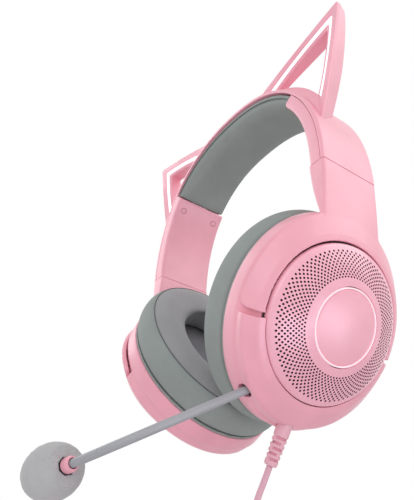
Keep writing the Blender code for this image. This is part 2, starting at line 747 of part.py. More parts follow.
def make_ear_side(side, parent, offset):
    """Baffle, driver, cloth and cushion on the inner side of a cup."""
    out_u = CUP_HALF_U - BAFFLE_INSET
    out_v = CUP_HALF_V - BAFFLE_INSET
    plate = [(out_u, out_v, BAFFLE_TOP), (BAFFLE_HOLE, BAFFLE_HOLE, BAFFLE_TOP)]
    plate += [(BAFFLE_HOLE, BAFFLE_HOLE, BAFFLE_BOTTOM), (out_u, out_v, BAFFLE_BOTTOM)]
    add(f"baffle_{side}", oval_ring(plate), "black", parent, offset)
    waist = blend(DRIVER_RADIUS, MAGNET_RADIUS, BELL_SHARE)
    mouth = blend(DRIVER_MOUTH, MAGNET_RADIUS, BELL_SHARE)
    bell = MAGNET_BASE_W - DRIVER_FLANGE
    driver = [(MAGNET_RADIUS, bell - DRIVER_FLANGE), (mouth, bell - DRIVER_FLANGE), (DRIVER_MOUTH, 0.0)]
    driver += [(DRIVER_FLANGE_RADIUS, 0.0), (DRIVER_FLANGE_RADIUS, DRIVER_FLANGE)]
    driver += [(DRIVER_RADIUS, DRIVER_FLANGE), (waist, bell), (MAGNET_RADIUS, MAGNET_BASE_W)]
    driver.append((MAGNET_RADIUS, MAGNET_TOP_W))
    add(f"driver_frame_{side}", turned(driver), "black", parent, offset)
    half = DIAPHRAGM_RADIUS / 2
    film = [(half / 2, -DIAPHRAGM_RISE), (half, -DIAPHRAGM_EDGE_RISE), (DIAPHRAGM_RADIUS, 0.0)]
    film += [(radius, level + DIAPHRAGM_WALL) for radius, level in reversed(film)]
    add(f"driver_diaphragm_{side}", turned(film, SMALL_STEPS * 2), "boom", parent, offset)
    top = BAFFLE_BOTTOM - GAP
    base_u = CUSHION_HOLE_U + CUSHION_FLARE
    base_v = CUSHION_HOLE_V + CUSHION_FLARE
    half_u = base_u - CLOTH_INSET
    half_v = base_v - CLOTH_INSET
    cloth = [oval(half_u, half_v, top), oval(half_u, half_v, top - CLOTH_THICKNESS)]
    add(f"driver_cloth_{side}", skin(cloth), "fabric", parent, offset)
    add(f"cushion_{side}", cushion_mesh(top, base_u, base_v), "leatherette", parent, offset)


def cushion_mesh(top, base_u, base_v):
    """Oval cushion: bulging side, crowned face and an opening for the ear."""
    seam_u = CUP_HALF_U - CUSHION_SEAM_INSET
    seam_v = CUP_HALF_V - CUSHION_SEAM_INSET
    width = seam_u - CUSHION_HOLE_U
    section = [(CUP_HALF_U - CUSHION_SEAM_INSET / 2, CUP_HALF_V - CUSHION_SEAM_INSET / 2, top)]
    for share in CUSHION_SIDE_SHARES:
        level = blend(top, CUSHION_SEAM_W, share)
        section.append((CUP_HALF_U + CUSHION_OVERHANG, CUP_HALF_V + CUSHION_OVERHANG, level))
    section.append((seam_u, seam_v, CUSHION_SEAM_W))
    for across, sink in CUSHION_CROWN:
        level = blend(CUSHION_FACE_W, CUSHION_SEAM_W, sink)
        section.append((seam_u - width * across, seam_v - width * across, level))
    mouth = blend(CUSHION_FACE_W, top, CUSHION_MOUTH_SHARE)
    lip = CUSHION_FLARE / 6
    section.append((CUSHION_HOLE_U + lip, CUSHION_HOLE_V + lip, mouth))
    waist = blend(CUSHION_FACE_W, top, CUSHION_WAIST_SHARE)
    section.append((CUSHION_HOLE_U, CUSHION_HOLE_V, waist))
    section.append((base_u, base_v, top))
    return oval_ring(section)


def fork_faces(turn, rim=FORK_RIM_SHARE, lift=SWING_GAP, lean=0.0):
    """Under and outer face of the fork, at one angle round the cup, from its rim to the disc."""
    span = blend(CUP_HALF_U, CUP_HALF_V, abs(math.sin(turn))) - LIP_RADIUS
    slope = math.atan2(LIP_W - SHOULDER_W, span)
    under = []
    over = []
    for share in spread(rim, 1.0, SHOULDER_STEPS)[:-1]:
        half_u, half_v, level = shoulder(share)
        here = turn + lean * (0.5 - share)
        point = Vector((half_u * math.cos(here), half_v * math.sin(here), level))
        side = Vector((math.cos(here) / half_u, math.sin(here) / half_v, 0.0)).normalized()
        out = side * math.sin(slope) + Vector((0.0, 0.0, math.cos(slope)))
        under.append(point + out * lift)
        over.append(point + out * (SWING_GAP + blend(FORK_WALL, FORK_INNER_WALL, share)))
    here = turn - lean / 2
    edge = Vector((math.cos(here), math.sin(here), 0.0)) * (DISC_RADIUS + FORK_GAP)
    under.append(edge + Vector((0.0, 0.0, LIP_W + lift)))
    over.append(edge + Vector((0.0, 0.0, LIP_W + SWING_GAP + FORK_INNER_WALL)))
    return under, over


def fork_stations():
    """Angles along the fork, each with its outer edge's place and its lean; the corners are cut back."""
    start = math.asin(FORK_END_V / (CUP_HALF_U + FORK_WALL))
    corner = []
    for reach, cut, lean in FORK_CORNER:
        corner.append((start + reach / CUP_HALF_U, FORK_RIM_SHARE + cut, FORK_LEAN * lean))
    low = corner[-1][0]
    middle = [(turn, FORK_RIM_SHARE, 0.0) for turn in spread(low, math.pi - low, FORK_STEPS)[1:-1]]
    return corner + middle + [(math.pi - turn, rim, -lean) for turn, rim, lean in reversed(corner)]


def raised_section(turn, lean):
    """Outline of the shell's raised lower part at one angle, flush with the fork and sunk in the wall."""
    under, over = fork_faces(turn, lift=-RAISED_SINK, lean=lean)
    half_u, half_v, level = shoulder(RAISED_RIM_SHARE)
    here = turn + lean / 2
    foot = Vector((half_u * math.cos(here), half_v * math.sin(here), level - RAISED_SINK))
    return [foot, *over, *under[::-1]]


def arm_column(start, end, heading, pull):
    """Smooth line from the arch's end down to the fork."""
    top = Vector((0.0, 0.0, -pull))
    foot = heading.normalized() * ARM_FOOT_PULL
    line = []
    for s in spread(0.0, 1.0, ARM_STEPS):
        rise = s * s * (3 - 2 * s)
        line.append(start.lerp(end, rise) + top * s * (1 - s) ** 2 + foot * s * s * (s - 1))
    return line


def arm_mesh(seam):
    """Arm that thins and widens from the arch's end to its foot inside the fork."""
    cup = cup_frame()
    turn = cup.to_3x3()
    half = BAND_DEPTH / 2
    flat = half - BAND_EDGE
    outer = []
    inner = []
    for y in [-half, *spread(-flat, flat, ARM_COLUMNS), half]:
        under, over = fork_faces(math.pi / 2 - ARM_FOOT_TURN * y / half)
        drop = BAND_EDGE if abs(y) > flat else 0.0
        start = seam + Vector((-drop, y, 0.0))
        end = over[2].lerp(under[2], ARM_FOOT_INSET)
        outer.append(arm_column(start, cup @ end, turn @ (over[2] - over[1]), ARM_TOP_PULL))
        start = seam + Vector((-ARM_TOP_THICKNESS, y, 0.0))
        end = under[1].lerp(over[1], ARM_INNER_INSET)
        inner.append(arm_column(start, cup @ end, turn @ (under[1] - under[0]), ARM_INNER_PULL))
    return skin([front + back[::-1] for front, back in zip(outer, inner)])


def make_yoke(side, half_turn):
    """Arm, fork, pivot pins and the steel strip that slides in the arch's end."""
    seam = Vector((ARCH_HALF_SPAN, 0.0, ARCH_Z - GAP))
    slider = pivot(f"slide_{side}", half_turn @ slide_frame(seam))
    inside = slide_frame(seam).inverted()
    cup = inside @ cup_frame()
    yoke = add(f"yoke_{side}", moved(arm_mesh(seam), inside), "pink", slider)
    sections = []
    for turn, rim, lean in fork_stations():
        under, over = fork_faces(turn, rim, lean=lean)
        sections.append(under + over[::-1])
    fork = add(f"join_fork_{side}", moved(skin(sections), cup), "pink", slider)
    boolean(yoke, fork, "UNION")
    for end, sign in face_and_back(side):
        frame = cup @ along((sign * PIN_INNER_U, PIVOT_V, PIVOT_W), (sign, 0, 0))
        length = PIN_OUTER_U - PIN_INNER_U
        radius = PIN_RADIUS + GAP
        hole = moved(turned([(radius, -GAP), (radius, length + GAP)], SMALL_STEPS), frame)
        boolean(yoke, add(f"cut_fork_{side}_{end}", hole, "pink", slider), "DIFFERENCE")
        pin = moved(turned([(PIN_RADIUS, 0.0), (PIN_RADIUS, length)], SMALL_STEPS), frame)
        add(f"pivot_pin_{side}_{end}", pin, "steel", slider)
    centre = inside @ (seam + Vector((-STRIP_INSET, 0.0, 0.0)))
    centre.z += (STRIP_BELOW - STRIP_ABOVE) / 2
    size = Vector((STRIP_THICKNESS, STRIP_WIDTH, STRIP_ABOVE + STRIP_BELOW))
    slot = box(size + Vector((GAP, GAP, GAP)) * 2, centre)
    boolean(yoke, add(f"cut_strip_{side}", slot, "pink", slider), "DIFFERENCE")
    add(f"slider_strip_{side}", box(size, centre), "steel", slider)


def slide_frame(seam):
    """Frame at the left seam with its Z the way the yoke slides out of the arch."""
    y = Vector((0.0, 1.0, 0.0))
    z = Vector((math.sin(SLIDE_LEAN), 0.0, -math.cos(SLIDE_LEAN)))
    turn = Matrix((y.cross(z), y, z)).transposed().to_4x4()
    return Matrix.Translation(seam) @ turn


def cup_frame():
    """Frame of the left cup: u to the back, v up the oval, w outward."""
    u = Vector((0.0, 1.0, 0.0))
    v = Vector((math.sin(CUP_CANT), 0.0, math.cos(CUP_CANT)))
    turn = Matrix((u, v, u.cross(v))).transposed().to_4x4()
    return Matrix.Translation((CUP_X, 0.0, ARCH_Z - CUP_DROP)) @ turn


def make_cup(side, half_turn):
    """One ear cup on its pivot."""
    axis = Vector((0.0, PIVOT_V, PIVOT_W))
    parent = pivot(f"cup_{side}", half_turn @ cup_frame() @ Matrix.Translation(axis))
    shell = make_cup_shell(side, parent, -axis)
    make_grille(side, parent, -axis)
    make_ear_side(side, parent, -axis)
    return shell, parent, -axis


def boom_heading():
    """Way the straight boom leaves the left cup, in the cup's frame."""
    return Vector((math.cos(BOOM_HEADING), math.sin(BOOM_HEADING), 0.0))


def boom_line():
    """Points along the boom, in the cup's frame, and its last direction."""
    heading = boom_heading()
    port = Vector((PORT_U, PORT_V, PORT_W))
    across = Vector((0.0, 0.0, 1.0)).cross(heading)
    inward = across * math.sin(BOOM_BEND_ROLL) - Vector((0.0, 0.0, math.cos(BOOM_BEND_ROLL)))
    bend = port + heading * BOOM_STRAIGHT
    line = [port - heading * BOOM_INSIDE, port, bend]
    for angle in spread(0.0, BOOM_BEND, BOOM_BEND_STEPS)[1:]:
        reach = heading * math.sin(angle) + inward * (1 - math.cos(angle))
        line.append(bend + reach * BOOM_BEND_RADIUS)
    return line, heading * math.cos(BOOM_BEND) + inward * math.sin(BOOM_BEND)


def foam_profile():
    """Egg of foam with a bore for the capsule, from the bore's floor to the tip."""
    bore = CAPSULE_RADIUS + GAP
    profile = [(bore, COLLAR_LENGTH + CAPSULE_LENGTH + 2 * GAP), (bore, COLLAR_LENGTH + GAP)]
    for share in spread(0.0, 1.0, FOAM_STEPS):
        swell = math.sin(math.pi * blend(FOAM_START_SHARE, FOAM_END_SHARE, share)) ** FOAM_SWELL_POWER
        profile.append((FOAM_RADIUS * swell, COLLAR_LENGTH + GAP + FOAM_LENGTH * share))
    return profile


def make_microphone(shell, parent, offset):
    """Bushing in the left shell, and the boom, collar, capsule and foam that slide in it."""
    heading = boom_heading()
    port = Vector((PORT_U, PORT_V, PORT_W))
    frame = along(port, heading)
    ends = [(PORT_RADIUS + GAP, -BOOM_INSIDE), (PORT_RADIUS + GAP, BOOM_INSIDE)]
    hole = moved(turned(ends, SMALL_STEPS * 2), frame)
    boolean(shell, add("cut_port", hole, "pink", parent, offset), "DIFFERENCE")
    bush = [(PORT_RADIUS, -PORT_INSIDE), (PORT_RADIUS, PORT_OUTSIDE)]
    bush += [(PORT_BORE, PORT_OUTSIDE), (PORT_BORE, -PORT_INSIDE)]
    add("mic_port", moved(turned_ring(bush, SMALL_STEPS * 2), frame), "rubber", parent, offset)
    slide = pivot("mic_slide", parent.matrix_world @ Matrix.Translation(offset + port))
    line, last = boom_line()
    tube("mic_boom", line, BOOM_RADIUS, CORD_SIDES, "boom", slide, -port)
    tip = along(line[-1] - last * COLLAR_SOCKET, last)
    socket = BOOM_RADIUS + GAP
    collar = [(socket, COLLAR_SOCKET + GAP), (socket, 0.0), (COLLAR_NECK_RADIUS, 0.0)]
    collar += [(COLLAR_RADIUS, COLLAR_LENGTH / 4), (COLLAR_RADIUS, COLLAR_LENGTH)]
    add("mic_collar", moved(turned(collar, SMALL_STEPS * 2), tip), "pink", slide, -port)
    low = COLLAR_LENGTH + GAP
    capsule = turned([(CAPSULE_RADIUS, low), (CAPSULE_RADIUS, low + CAPSULE_LENGTH)], SMALL_STEPS)
    add("mic_capsule", moved(capsule, tip), "black", slide, -port)
    add("mic_foam", moved(turned(foam_profile(), SMALL_STEPS * 2), tip), "foam", slide, -port)


def make_wheel(shell, parent, offset):
    """Volume wheel on a stub axle, showing through a slot in the left shell."""
    axis = Vector((WHEEL_U, WHEEL_V, 0.0))
    seat = Matrix.Translation(axis)
    margin = GAP + GAP / 3
    radius = WHEEL_RADIUS + margin
    slot = [(radius, WHEEL_BOTTOM_W - margin), (radius, WHEEL_TOP_W + margin)]
    boolean(shell, add("cut_wheel", moved(turned(slot), seat), "pink", parent, offset), "DIFFERENCE")
    centre = pivot("wheel_axis", parent.matrix_world @ Matrix.Translation(offset + axis))
    wheel = [(WHEEL_AXLE_RADIUS, BAFFLE_TOP + GAP), (WHEEL_AXLE_RADIUS, WHEEL_BOTTOM_W)]
    wheel += [(WHEEL_RADIUS, WHEEL_BOTTOM_W), (WHEEL_RADIUS, WHEEL_TOP_W)]
    add("volume_wheel", turned(wheel), "rubber", centre)


def relief_heading():
    """Way the strain relief leaves the left cup, in the cup's frame."""
    return Vector((-math.sin(RELIEF_LEAN), -math.cos(RELIEF_LEAN), 0.0))


def make_strain_relief(shell, parent, offset):
    """Ribbed boot through the bottom of the left shell."""
    frame = along((RELIEF_U, RELIEF_V, RELIEF_W), relief_heading())
    radius = RELIEF_RADIUS + GAP
    hole = turned([(radius, -GAP), (radius, RELIEF_PLAIN)], SMALL_STEPS)
    boolean(shell, add("cut_relief", moved(hole, frame), "pink", parent, offset), "DIFFERENCE")
    profile = [(RELIEF_RADIUS, 0.0), (RELIEF_RADIUS, RELIEF_PLAIN)]
    step = (RELIEF_LENGTH - RELIEF_PLAIN) / (2 * RELIEF_GROOVES + 1)
    for groove in range(RELIEF_GROOVES):
        low = RELIEF_PLAIN + 2 * groove * step
        profile += [(RELIEF_GROOVE_RADIUS, low), (RELIEF_GROOVE_RADIUS, low + step)]
        profile += [(RELIEF_RADIUS, low + step), (RELIEF_RADIUS, low + 2 * step)]
    profile += [(RELIEF_GROOVE_RADIUS, RELIEF_LENGTH)]
    add("strain_relief", moved(turned(profile, SMALL_STEPS), frame), "rubber", parent, offset)


def make_circuit_board(parent, offset):
    """Sound board under the left shell's lip."""
    top = LIP_W - CUP_WALL - GAP
    size = (CIRCUIT_LENGTH, CIRCUIT_WIDTH, BOARD_THICKNESS)
    board = box(size, (0.0, CIRCUIT_V, top - BOARD_THICKNESS / 2))
    add("circuit_board", board, "board", parent, offset)


def lead_route():
    """Where the lead leaves the relief, and where it runs into the coil, in the world."""
    cup = cup_frame()
    end = Vector((RELIEF_U, RELIEF_V, RELIEF_W)) + relief_heading() * (RELIEF_LENGTH + GAP)
    start = cup @ end
    heading = cup.to_3x3() @ relief_heading()
    down = Vector((0.0, 0.0, -1.0))
    run = start + heading * CORD_STRAIGHT
    turned_down = run + (heading + down) * CORD_RADIUS * 3
    coil_start = Vector((turned_down.x, turned_down.y, start.z - CORD_DROP))
    lead_in = coil_start - down * CORD_RADIUS * 2
    middle = turned_down.lerp(lead_in, 0.5)
    return [start, start.lerp(run, 0.5), run, turned_down, middle, lead_in, coil_start]


def coil_line(start):
    """Points of the coil: flat spirals in and out, one layer on the next, ending straight."""
    per_layer = COIL_TURNS / COIL_LAYERS
    step = 1 / COIL_POINTS
    runs = COIL_TURNS * COIL_POINTS
    reach = per_layer * COIL_PITCH
    radius = COIL_MEAN_RADIUS + reach / 2
    centre = start - Vector((radius, 0.0, 0.0))
    layer = 0.0
    points = [start]
    for index in range(1, runs + 1):
        turns = index * step
        past = (turns + COIL_CLIMB / 2) % per_layer
        number = int((turns + COIL_CLIMB / 2) // per_layer)
        if past <= COIL_CLIMB and 0 < number < COIL_LAYERS:
            layer = number - 1 + past / COIL_CLIMB
        else:
            layer = round(layer)
            radius += COIL_PITCH * step * (-1 if round(layer) % 2 == 0 else 1)
        angle = math.tau * turns
        flat = Vector((math.cos(angle), 0.0, -math.sin(angle))) * radius
        points.append(centre + flat + Vector((0.0, layer * COIL_PITCH, 0.0)))
    down = Vector((0.0, 0.0, -1.0)) * CORD_RADIUS * 2
    return [start - down, *points, points[-1] + down], centre


def line_length(points):
    """Length along a run of points."""
    return sum((last - first).length for first, last in zip(points, points[1:]))


def self_gap(points):
    """Least clear space between stretches of the coil that aren't neighbours."""
    fine = []
    for first, last in zip(points, points[1:]):
        fine += [first.lerp(last, part / COIL_CHECK_SPLIT) for part in range(COIL_CHECK_SPLIT)]
    skip = COIL_POINTS * COIL_CHECK_SPLIT // 3
    least = COIL_MEAN_RADIUS
    for index, point in enumerate(fine):
        for other in fine[index + skip:]:
            least = min(least, (point - other).length)
    return least - 2 * CORD_RADIUS


def make_lead(parent):
    """Hanging lead, coil, tie, tail and plug, all carried by the left cup."""
    home = parent.matrix_world.inverted()
    route = lead_route()
    lead = smooth_route(route, CORD_POINT_STEP)
    tube("cable", [home @ point for point in lead], CORD_RADIUS, CORD_SIDES, "rubber", parent)
    down = Vector((0.0, 0.0, -1.0))
    coil, centre = coil_line(route[-1] + down * (GAP + CORD_RADIUS * 2))
    tube("cable_coil", [home @ point for point in coil], CORD_RADIUS, THIN_SIDES, "rubber", parent)
    tail_start = coil[-1] + down * GAP
    tail = [tail_start + down * TAIL_LENGTH * share for share in spread(0.0, 1.0, TAIL_STEPS)]
    tube("cable_tail", [home @ point for point in tail], CORD_RADIUS, CORD_SIDES, "rubber", parent)
    total = line_length(lead) + line_length(coil) + line_length(tail)
    print(f"lead length {total:.3f} m of {CORD_LENGTH} m, coil gap to itself {self_gap(coil) * 1000:.2f} mm")
    make_tie(coil, centre, home, parent)
    make_plug(tail[-1] + down * GAP, home, parent)


def make_tie(coil, centre, home, parent):
    """Strap round the coil's turns, at the coil's top."""
    near = [p for p in coil if abs(p.x - centre.x) < TIE_WIDTH and p.z > centre.z]
    slack = CORD_RADIUS + TIE_SLACK
    low = Vector((centre.x, min(p.y for p in near) - slack, min(p.z for p in near) - slack))
    high = Vector((centre.x, max(p.y for p in near) + slack, max(p.z for p in near) + slack))
    rings = []
    for grow, x in ((0, -1), (TIE_WALL, -1), (TIE_WALL, 1), (0, 1)):
        y0, z0 = low.y - grow, low.z - grow
        y1, z1 = high.y + grow, high.z + grow
        level = centre.x + x * TIE_WIDTH / 2
        rings.append([Vector((level, y, z)) for y, z in ((y0, z0), (y1, z0), (y1, z1), (y0, z1))])
    add("cable_tie", moved(skin(rings, looped=True), home), "black", parent)


def make_plug(top, home, parent):
    """Moulded cover, steel shell and tongue of the plug, pointing down."""
    cover = soft_bar(PLUG_COVER_WIDTH, PLUG_COVER_HEIGHT, PLUG_COVER_LENGTH, PLUG_EDGE)
    add("usb_plug_cover", moved(cover, home @ Matrix.Translation(top)), "rubber", parent)
    seat = top.z - PLUG_COVER_LENGTH - GAP
    rings = []
    for wall, level in ((0, 0), (0, 1), (PLUG_SHELL_WALL, 1), (PLUG_SHELL_WALL, 0)):
        x = PLUG_SHELL_WIDTH / 2 - wall
        y = PLUG_SHELL_HEIGHT / 2 - wall
        z = seat - PLUG_SHELL_LENGTH * level
        corners = ((-x, -y), (x, -y), (x, y), (-x, y))
        rings.append([Vector((top.x + across, top.y + deep, z)) for across, deep in corners])
    add("usb_plug_shell", moved(skin(rings, looped=True), home), "steel", parent)
    room = PLUG_SHELL_WALL + GAP
    size = Vector((PLUG_SHELL_WIDTH - 2 * room, PLUG_TONGUE_HEIGHT, PLUG_SHELL_LENGTH - room))
    deep = top.y + PLUG_SHELL_HEIGHT / 2 - room - PLUG_TONGUE_HEIGHT / 2
    tongue = box(size, Vector((top.x, deep, seat - size.z / 2)))
    add("usb_plug_tongue", moved(tongue, home), "black", parent)


def main():
    make_headband()
    for side, mirrored in (("left", False), ("right", True)):
        half_turn = Matrix.Rotation(math.pi if mirrored else 0.0, 4, "Z")
        make_end_cap(side, mirrored)
        make_ear(side, mirrored)
        make_yoke(side, half_turn)
        shell, parent, offset = make_cup(side, half_turn)
        if not mirrored:
            make_microphone(shell, parent, offset)
            make_wheel(shell, parent, offset)
            make_strain_relief(shell, parent, offset)
            make_circuit_board(parent, offset)
            make_lead(parent)


clear_scene()
looks = make_looks()
main()
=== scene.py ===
"""Looks of an over-ear headset: shaped pieces in place of its plain solids, materials, light and camera."""
import math

import bmesh
import bpy
from mathutils import Matrix, Vector, noise


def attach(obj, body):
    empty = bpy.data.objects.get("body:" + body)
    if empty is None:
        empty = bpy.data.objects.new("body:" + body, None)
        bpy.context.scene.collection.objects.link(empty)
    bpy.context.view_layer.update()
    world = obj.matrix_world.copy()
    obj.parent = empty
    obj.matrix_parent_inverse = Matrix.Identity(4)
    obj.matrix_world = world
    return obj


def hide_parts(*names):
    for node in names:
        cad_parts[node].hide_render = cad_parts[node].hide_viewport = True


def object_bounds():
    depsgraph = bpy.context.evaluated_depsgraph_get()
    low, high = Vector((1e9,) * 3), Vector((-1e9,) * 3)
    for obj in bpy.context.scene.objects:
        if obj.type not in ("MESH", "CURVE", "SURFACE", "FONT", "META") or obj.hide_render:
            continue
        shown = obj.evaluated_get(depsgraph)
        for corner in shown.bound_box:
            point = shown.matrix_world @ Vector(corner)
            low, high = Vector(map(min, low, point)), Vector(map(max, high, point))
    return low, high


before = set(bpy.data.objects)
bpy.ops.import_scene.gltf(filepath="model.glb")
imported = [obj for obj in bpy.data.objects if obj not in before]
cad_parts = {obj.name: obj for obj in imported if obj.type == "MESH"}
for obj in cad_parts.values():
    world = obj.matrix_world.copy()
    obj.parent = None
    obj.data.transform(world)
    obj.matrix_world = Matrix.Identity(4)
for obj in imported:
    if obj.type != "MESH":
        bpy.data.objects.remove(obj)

cad_box = [list(corner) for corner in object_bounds()]
scene = bpy.context.scene
scene.view_settings.view_transform = "Standard"

# Sizes, the same as in the part's source
GAP = 0.0003
SWING_GAP = 0.0009
ARCH_HALF_SPAN = 0.0768
ARCH_RISE = 0.0858
ARCH_SQUARENESS = 2.22
BAND_DEPTH = 0.0354
BAND_WALL = 0.0022
BAND_EDGE = 0.0012
PAD_THICKNESS = 0.0115
PAD_END_ANGLE = math.radians(41.8)
PAD_DRAW_IN = 0.0012
PAD_CHANNEL_DEPTH = 0.0022
PAD_CHANNEL_FRONT = -0.0072
PAD_CHANNEL_REAR = 0.0102
CAP_THICKNESS = 0.0070
CAP_FLOOR = 0.0020
CAP_CHANNEL_HALF = 0.0085
SCREW_ANGLE = math.radians(35.4)
SCREW_Y = 0.0120
SCREW_HEAD_RADIUS = 0.0017
PAD_TOP = BAND_WALL + GAP
ARCH_TOP_Z = PAD_TOP + PAD_THICKNESS
ARCH_Z = ARCH_TOP_Z - ARCH_RISE
EAR_OUTER_ANGLE = math.radians(19.2)
EAR_BACK_ANGLE = math.radians(25.0)
EAR_INNER_ANGLE = math.radians(78.5)
EAR_TIP_X = 0.0920
EAR_TIP_RISE = 0.1066
EAR_TIP_RADIUS = 0.0016
EAR_BOW_INNER = 0.0016
EAR_BOW_OUTER = 0.0013
EAR_FRONT_Y = -0.0127
EAR_DEPTH = 0.0150
EAR_DISH = 0.30
EAR_FULL_X = 0.0800
EAR_TIP_SHARE = 0.20
EAR_SWELL_POWER = 0.30
EAR_BEZEL = 0.0018
EAR_BACK_INSET = 0.0026
EAR_SIDE_INSET = 0.0008
EAR_SIDE_SHARE = 0.85
EAR_FRAME = 0.0080
EAR_WEB = 0.0045
EAR_LIGHT_INSET = 0.0039
EAR_LIGHT_DEPTH = 0.0010
EAR_LIGHT_LIFT = 0.0053
CUP_CANT = math.radians(29.0)
CUP_HALF_U = 0.0435
CUP_HALF_V = 0.0502
CUP_TOP_BELOW_SEAM = 0.0213
CUP_TOP_INWARD = 0.0118
CUP_X = ARCH_HALF_SPAN - CUP_TOP_INWARD - CUP_HALF_V * math.sin(CUP_CANT)
CUP_DROP = CUP_TOP_BELOW_SEAM + CUP_HALF_V * math.cos(CUP_CANT)
CUP_WALL = 0.0025
SHOULDER_W = 0.0084
SHOULDER_BULGE = 0.04
LIP_W = 0.0176
DISC_RADIUS = 0.0357
LIP_MARGIN = 0.0015
LIP_RADIUS = DISC_RADIUS + LIP_MARGIN
CAVITY_RADIUS = 0.0340
DISC_RIM_W = 0.0211
GRILLE_INNER_W = 0.0276
GRILLE_INNER_RADIUS = 0.0211
GRILLE_HOLE_RADIUS = 0.0176
RING_OUTER_RADIUS = 0.0172
EMBLEM_SINK = 0.0006
BAFFLE_BOTTOM = -0.0013
CLOTH_INSET = 0.0006
CUSHION_FACE_W = -0.0205
CUSHION_SEAM_W = -0.0180
CUSHION_OVERHANG = 0.0022
CUSHION_SEAM_INSET = 0.0018
CUSHION_HOLE_U = 0.0210
CUSHION_HOLE_V = 0.0310
CUSHION_FLARE = 0.0030
PIVOT_V = -0.0025
PIVOT_W = 0.0134
PIN_RADIUS = 0.0015
PIN_OUTER_U = CUP_HALF_U - 0.0013
FORK_GAP = 0.0010
FORK_WALL = 0.0026
FORK_INNER_WALL = 0.0018
FORK_END_V = -0.0060
FORK_RIM_SHARE = 0.16
FORK_CORNER = ((0.0, 0.28, 1.0), (0.0009, 0.08, 0.8), (0.0030, 0.0, 0.5))
FORK_LEAN = math.radians(3.0)
FORK_SLOT = 0.0025
RAISED_SINK = 0.0005
ARM_TOP_THICKNESS = 0.0095
ARM_FOOT_TURN = math.radians(24.5)
ARM_FOOT_INSET = 0.12
ARM_INNER_INSET = 0.30
ARM_TOP_PULL = 0.040
ARM_INNER_PULL = 0.048
ARM_FOOT_PULL = 0.014
PORT_U = -0.634 * CUP_HALF_U
PORT_V = -0.781 * CUP_HALF_V
PORT_W = 0.0094
BOOM_HEADING = math.radians(214.0)
BOOM_RADIUS = 0.00185
BOOM_INSIDE = 0.0090
BOOM_STRAIGHT = 0.0380
BOOM_BEND_RADIUS = 0.0360
BOOM_BEND = math.radians(70)
BOOM_BEND_ROLL = math.radians(25)
PORT_RADIUS = 0.0032
PORT_BORE = 0.0022
PORT_OUTSIDE = 0.0004
PORT_INSIDE = 0.0044
COLLAR_RADIUS = 0.0033
COLLAR_NECK_RADIUS = 0.0027
COLLAR_LENGTH = 0.0050
COLLAR_SOCKET = 0.0030
CAPSULE_RADIUS = 0.0040
CAPSULE_LENGTH = 0.0090
FOAM_RADIUS = 0.0118
FOAM_LENGTH = 0.0320
WHEEL_RADIUS = 0.0090
WHEEL_U = 0.409 * CUP_HALF_U
WHEEL_V = -0.724 * CUP_HALF_V
WHEEL_BOTTOM_W = 0.0056
WHEEL_TOP_W = 0.0088
RELIEF_U = -0.0018
RELIEF_V = 0.0078 - CUP_HALF_V
RELIEF_W = 0.0114
RELIEF_LEAN = math.radians(4)
RELIEF_RADIUS = 0.0034
RELIEF_LENGTH = 0.0235
RELIEF_PLAIN = 0.0105
RELIEF_GROOVES = 5
CORD_RADIUS = 0.0014
CORD_DROP = 0.0480
CORD_STRAIGHT = 0.0160
CORD_POINT_STEP = 0.0060
COIL_TURNS = 18
COIL_LAYERS = 4
COIL_CLIMB = 0.5
COIL_MEAN_RADIUS = 0.016897
COIL_PITCH = 0.00382
COIL_POINTS = 24
TAIL_LENGTH = 0.0260
TIE_WALL = 0.0012
TIE_WIDTH = 0.0090
TIE_SLACK = 0.0005
PLUG_COVER_LENGTH = 0.0240
PLUG_COVER_WIDTH = 0.0160
PLUG_COVER_HEIGHT = 0.0080
PLUG_SHELL_LENGTH = 0.0120
PLUG_SHELL_WIDTH = 0.0120
PLUG_SHELL_HEIGHT = 0.0045
PLUG_SHELL_WALL = 0.0004

# Fine shaping that only the looks carry
PAD_STEPS = 84
PAD_CROWN_STEPS = 22
PAD_TUCK = 0.10
PAD_TUCK_RUN = 1.2
PAD_FOOT_DRAW = 0.3
PAD_FOOT_SHARE = 0.20
PAD_SIDE_SHARE = 0.42
PAD_SQUARENESS = 0.66
PAD_CROWN_POWER = 0.80
PAD_GIVE = 0.12
PAD_PRESSURE = 3.0
PAD_SWELL = 0.0006
PAD_SEAM_SHARE = 0.40
PAD_SEAM_RADIUS = 0.00028
SEAM_SINK = 0.00005
CAP_ROUND = 0.0026
CAP_ROUND_SHARE = 0.55
CAP_EDGE = 0.0016
CAP_TOP_EDGE = 0.0002
CAP_END_TURN = 0.03
CAP_FINE_TURN = 0.026
SCREW_COVER = ((1.0, -0.0004), (1.0, 0.00006), (0.93, 0.00016), (0.5, 0.00022), (0.1, 0.00024))
# Outline of the thin ring of painted shade in the groove round each screw cover
SCREW_GROOVE_SHADE = ((1.02, -0.0002), (1.14, -0.0002), (1.14, 0.00003), (1.02, 0.00003))
EAR_SEAM = 0.00004
EAR_ROUND = 0.0004
EAR_LIGHT_SHOWN = 0.0022
EAR_ROUND_SHARE = 0.96
FORK_FINE_STEPS = 120
RAISED_TURNS = 60
RAISED_SWELL = 0.42
RAISED_EDGE = 0.0004
RING_SHOWN = 0.0007
CAP_GAP = 0.0001
RIM_SHARE = 0.06
RIM_ROUND = 0.0012
RIM_STEPS = (0.35, 0.7, 1.0)
RIM_FOOT = ((0.0, 0.0026), (0.0, 0.0006), (0.0002, 0.0002), (0.0006, 0.0))
SHELL_SHARP = 30
HOLE_RINGS = 11
HOLES_ROUND = 81
HOLE_INNER = 0.0217
HOLE_OUTER = 0.0326
HOLE_SMALL = 0.00046
HOLE_LARGE = 0.00051
HOLE_DEPTH = 0.0009
GRILLE_INNER_BAND = (0.0204, 0.0196, 0.0186, GRILLE_HOLE_RADIUS + 0.0003, GRILLE_HOLE_RADIUS)
GRILLE_EDGE = 0.0009
GRILLE_OUTER_BAND = (0.0337, 0.0343, DISC_RADIUS - GRILLE_EDGE)
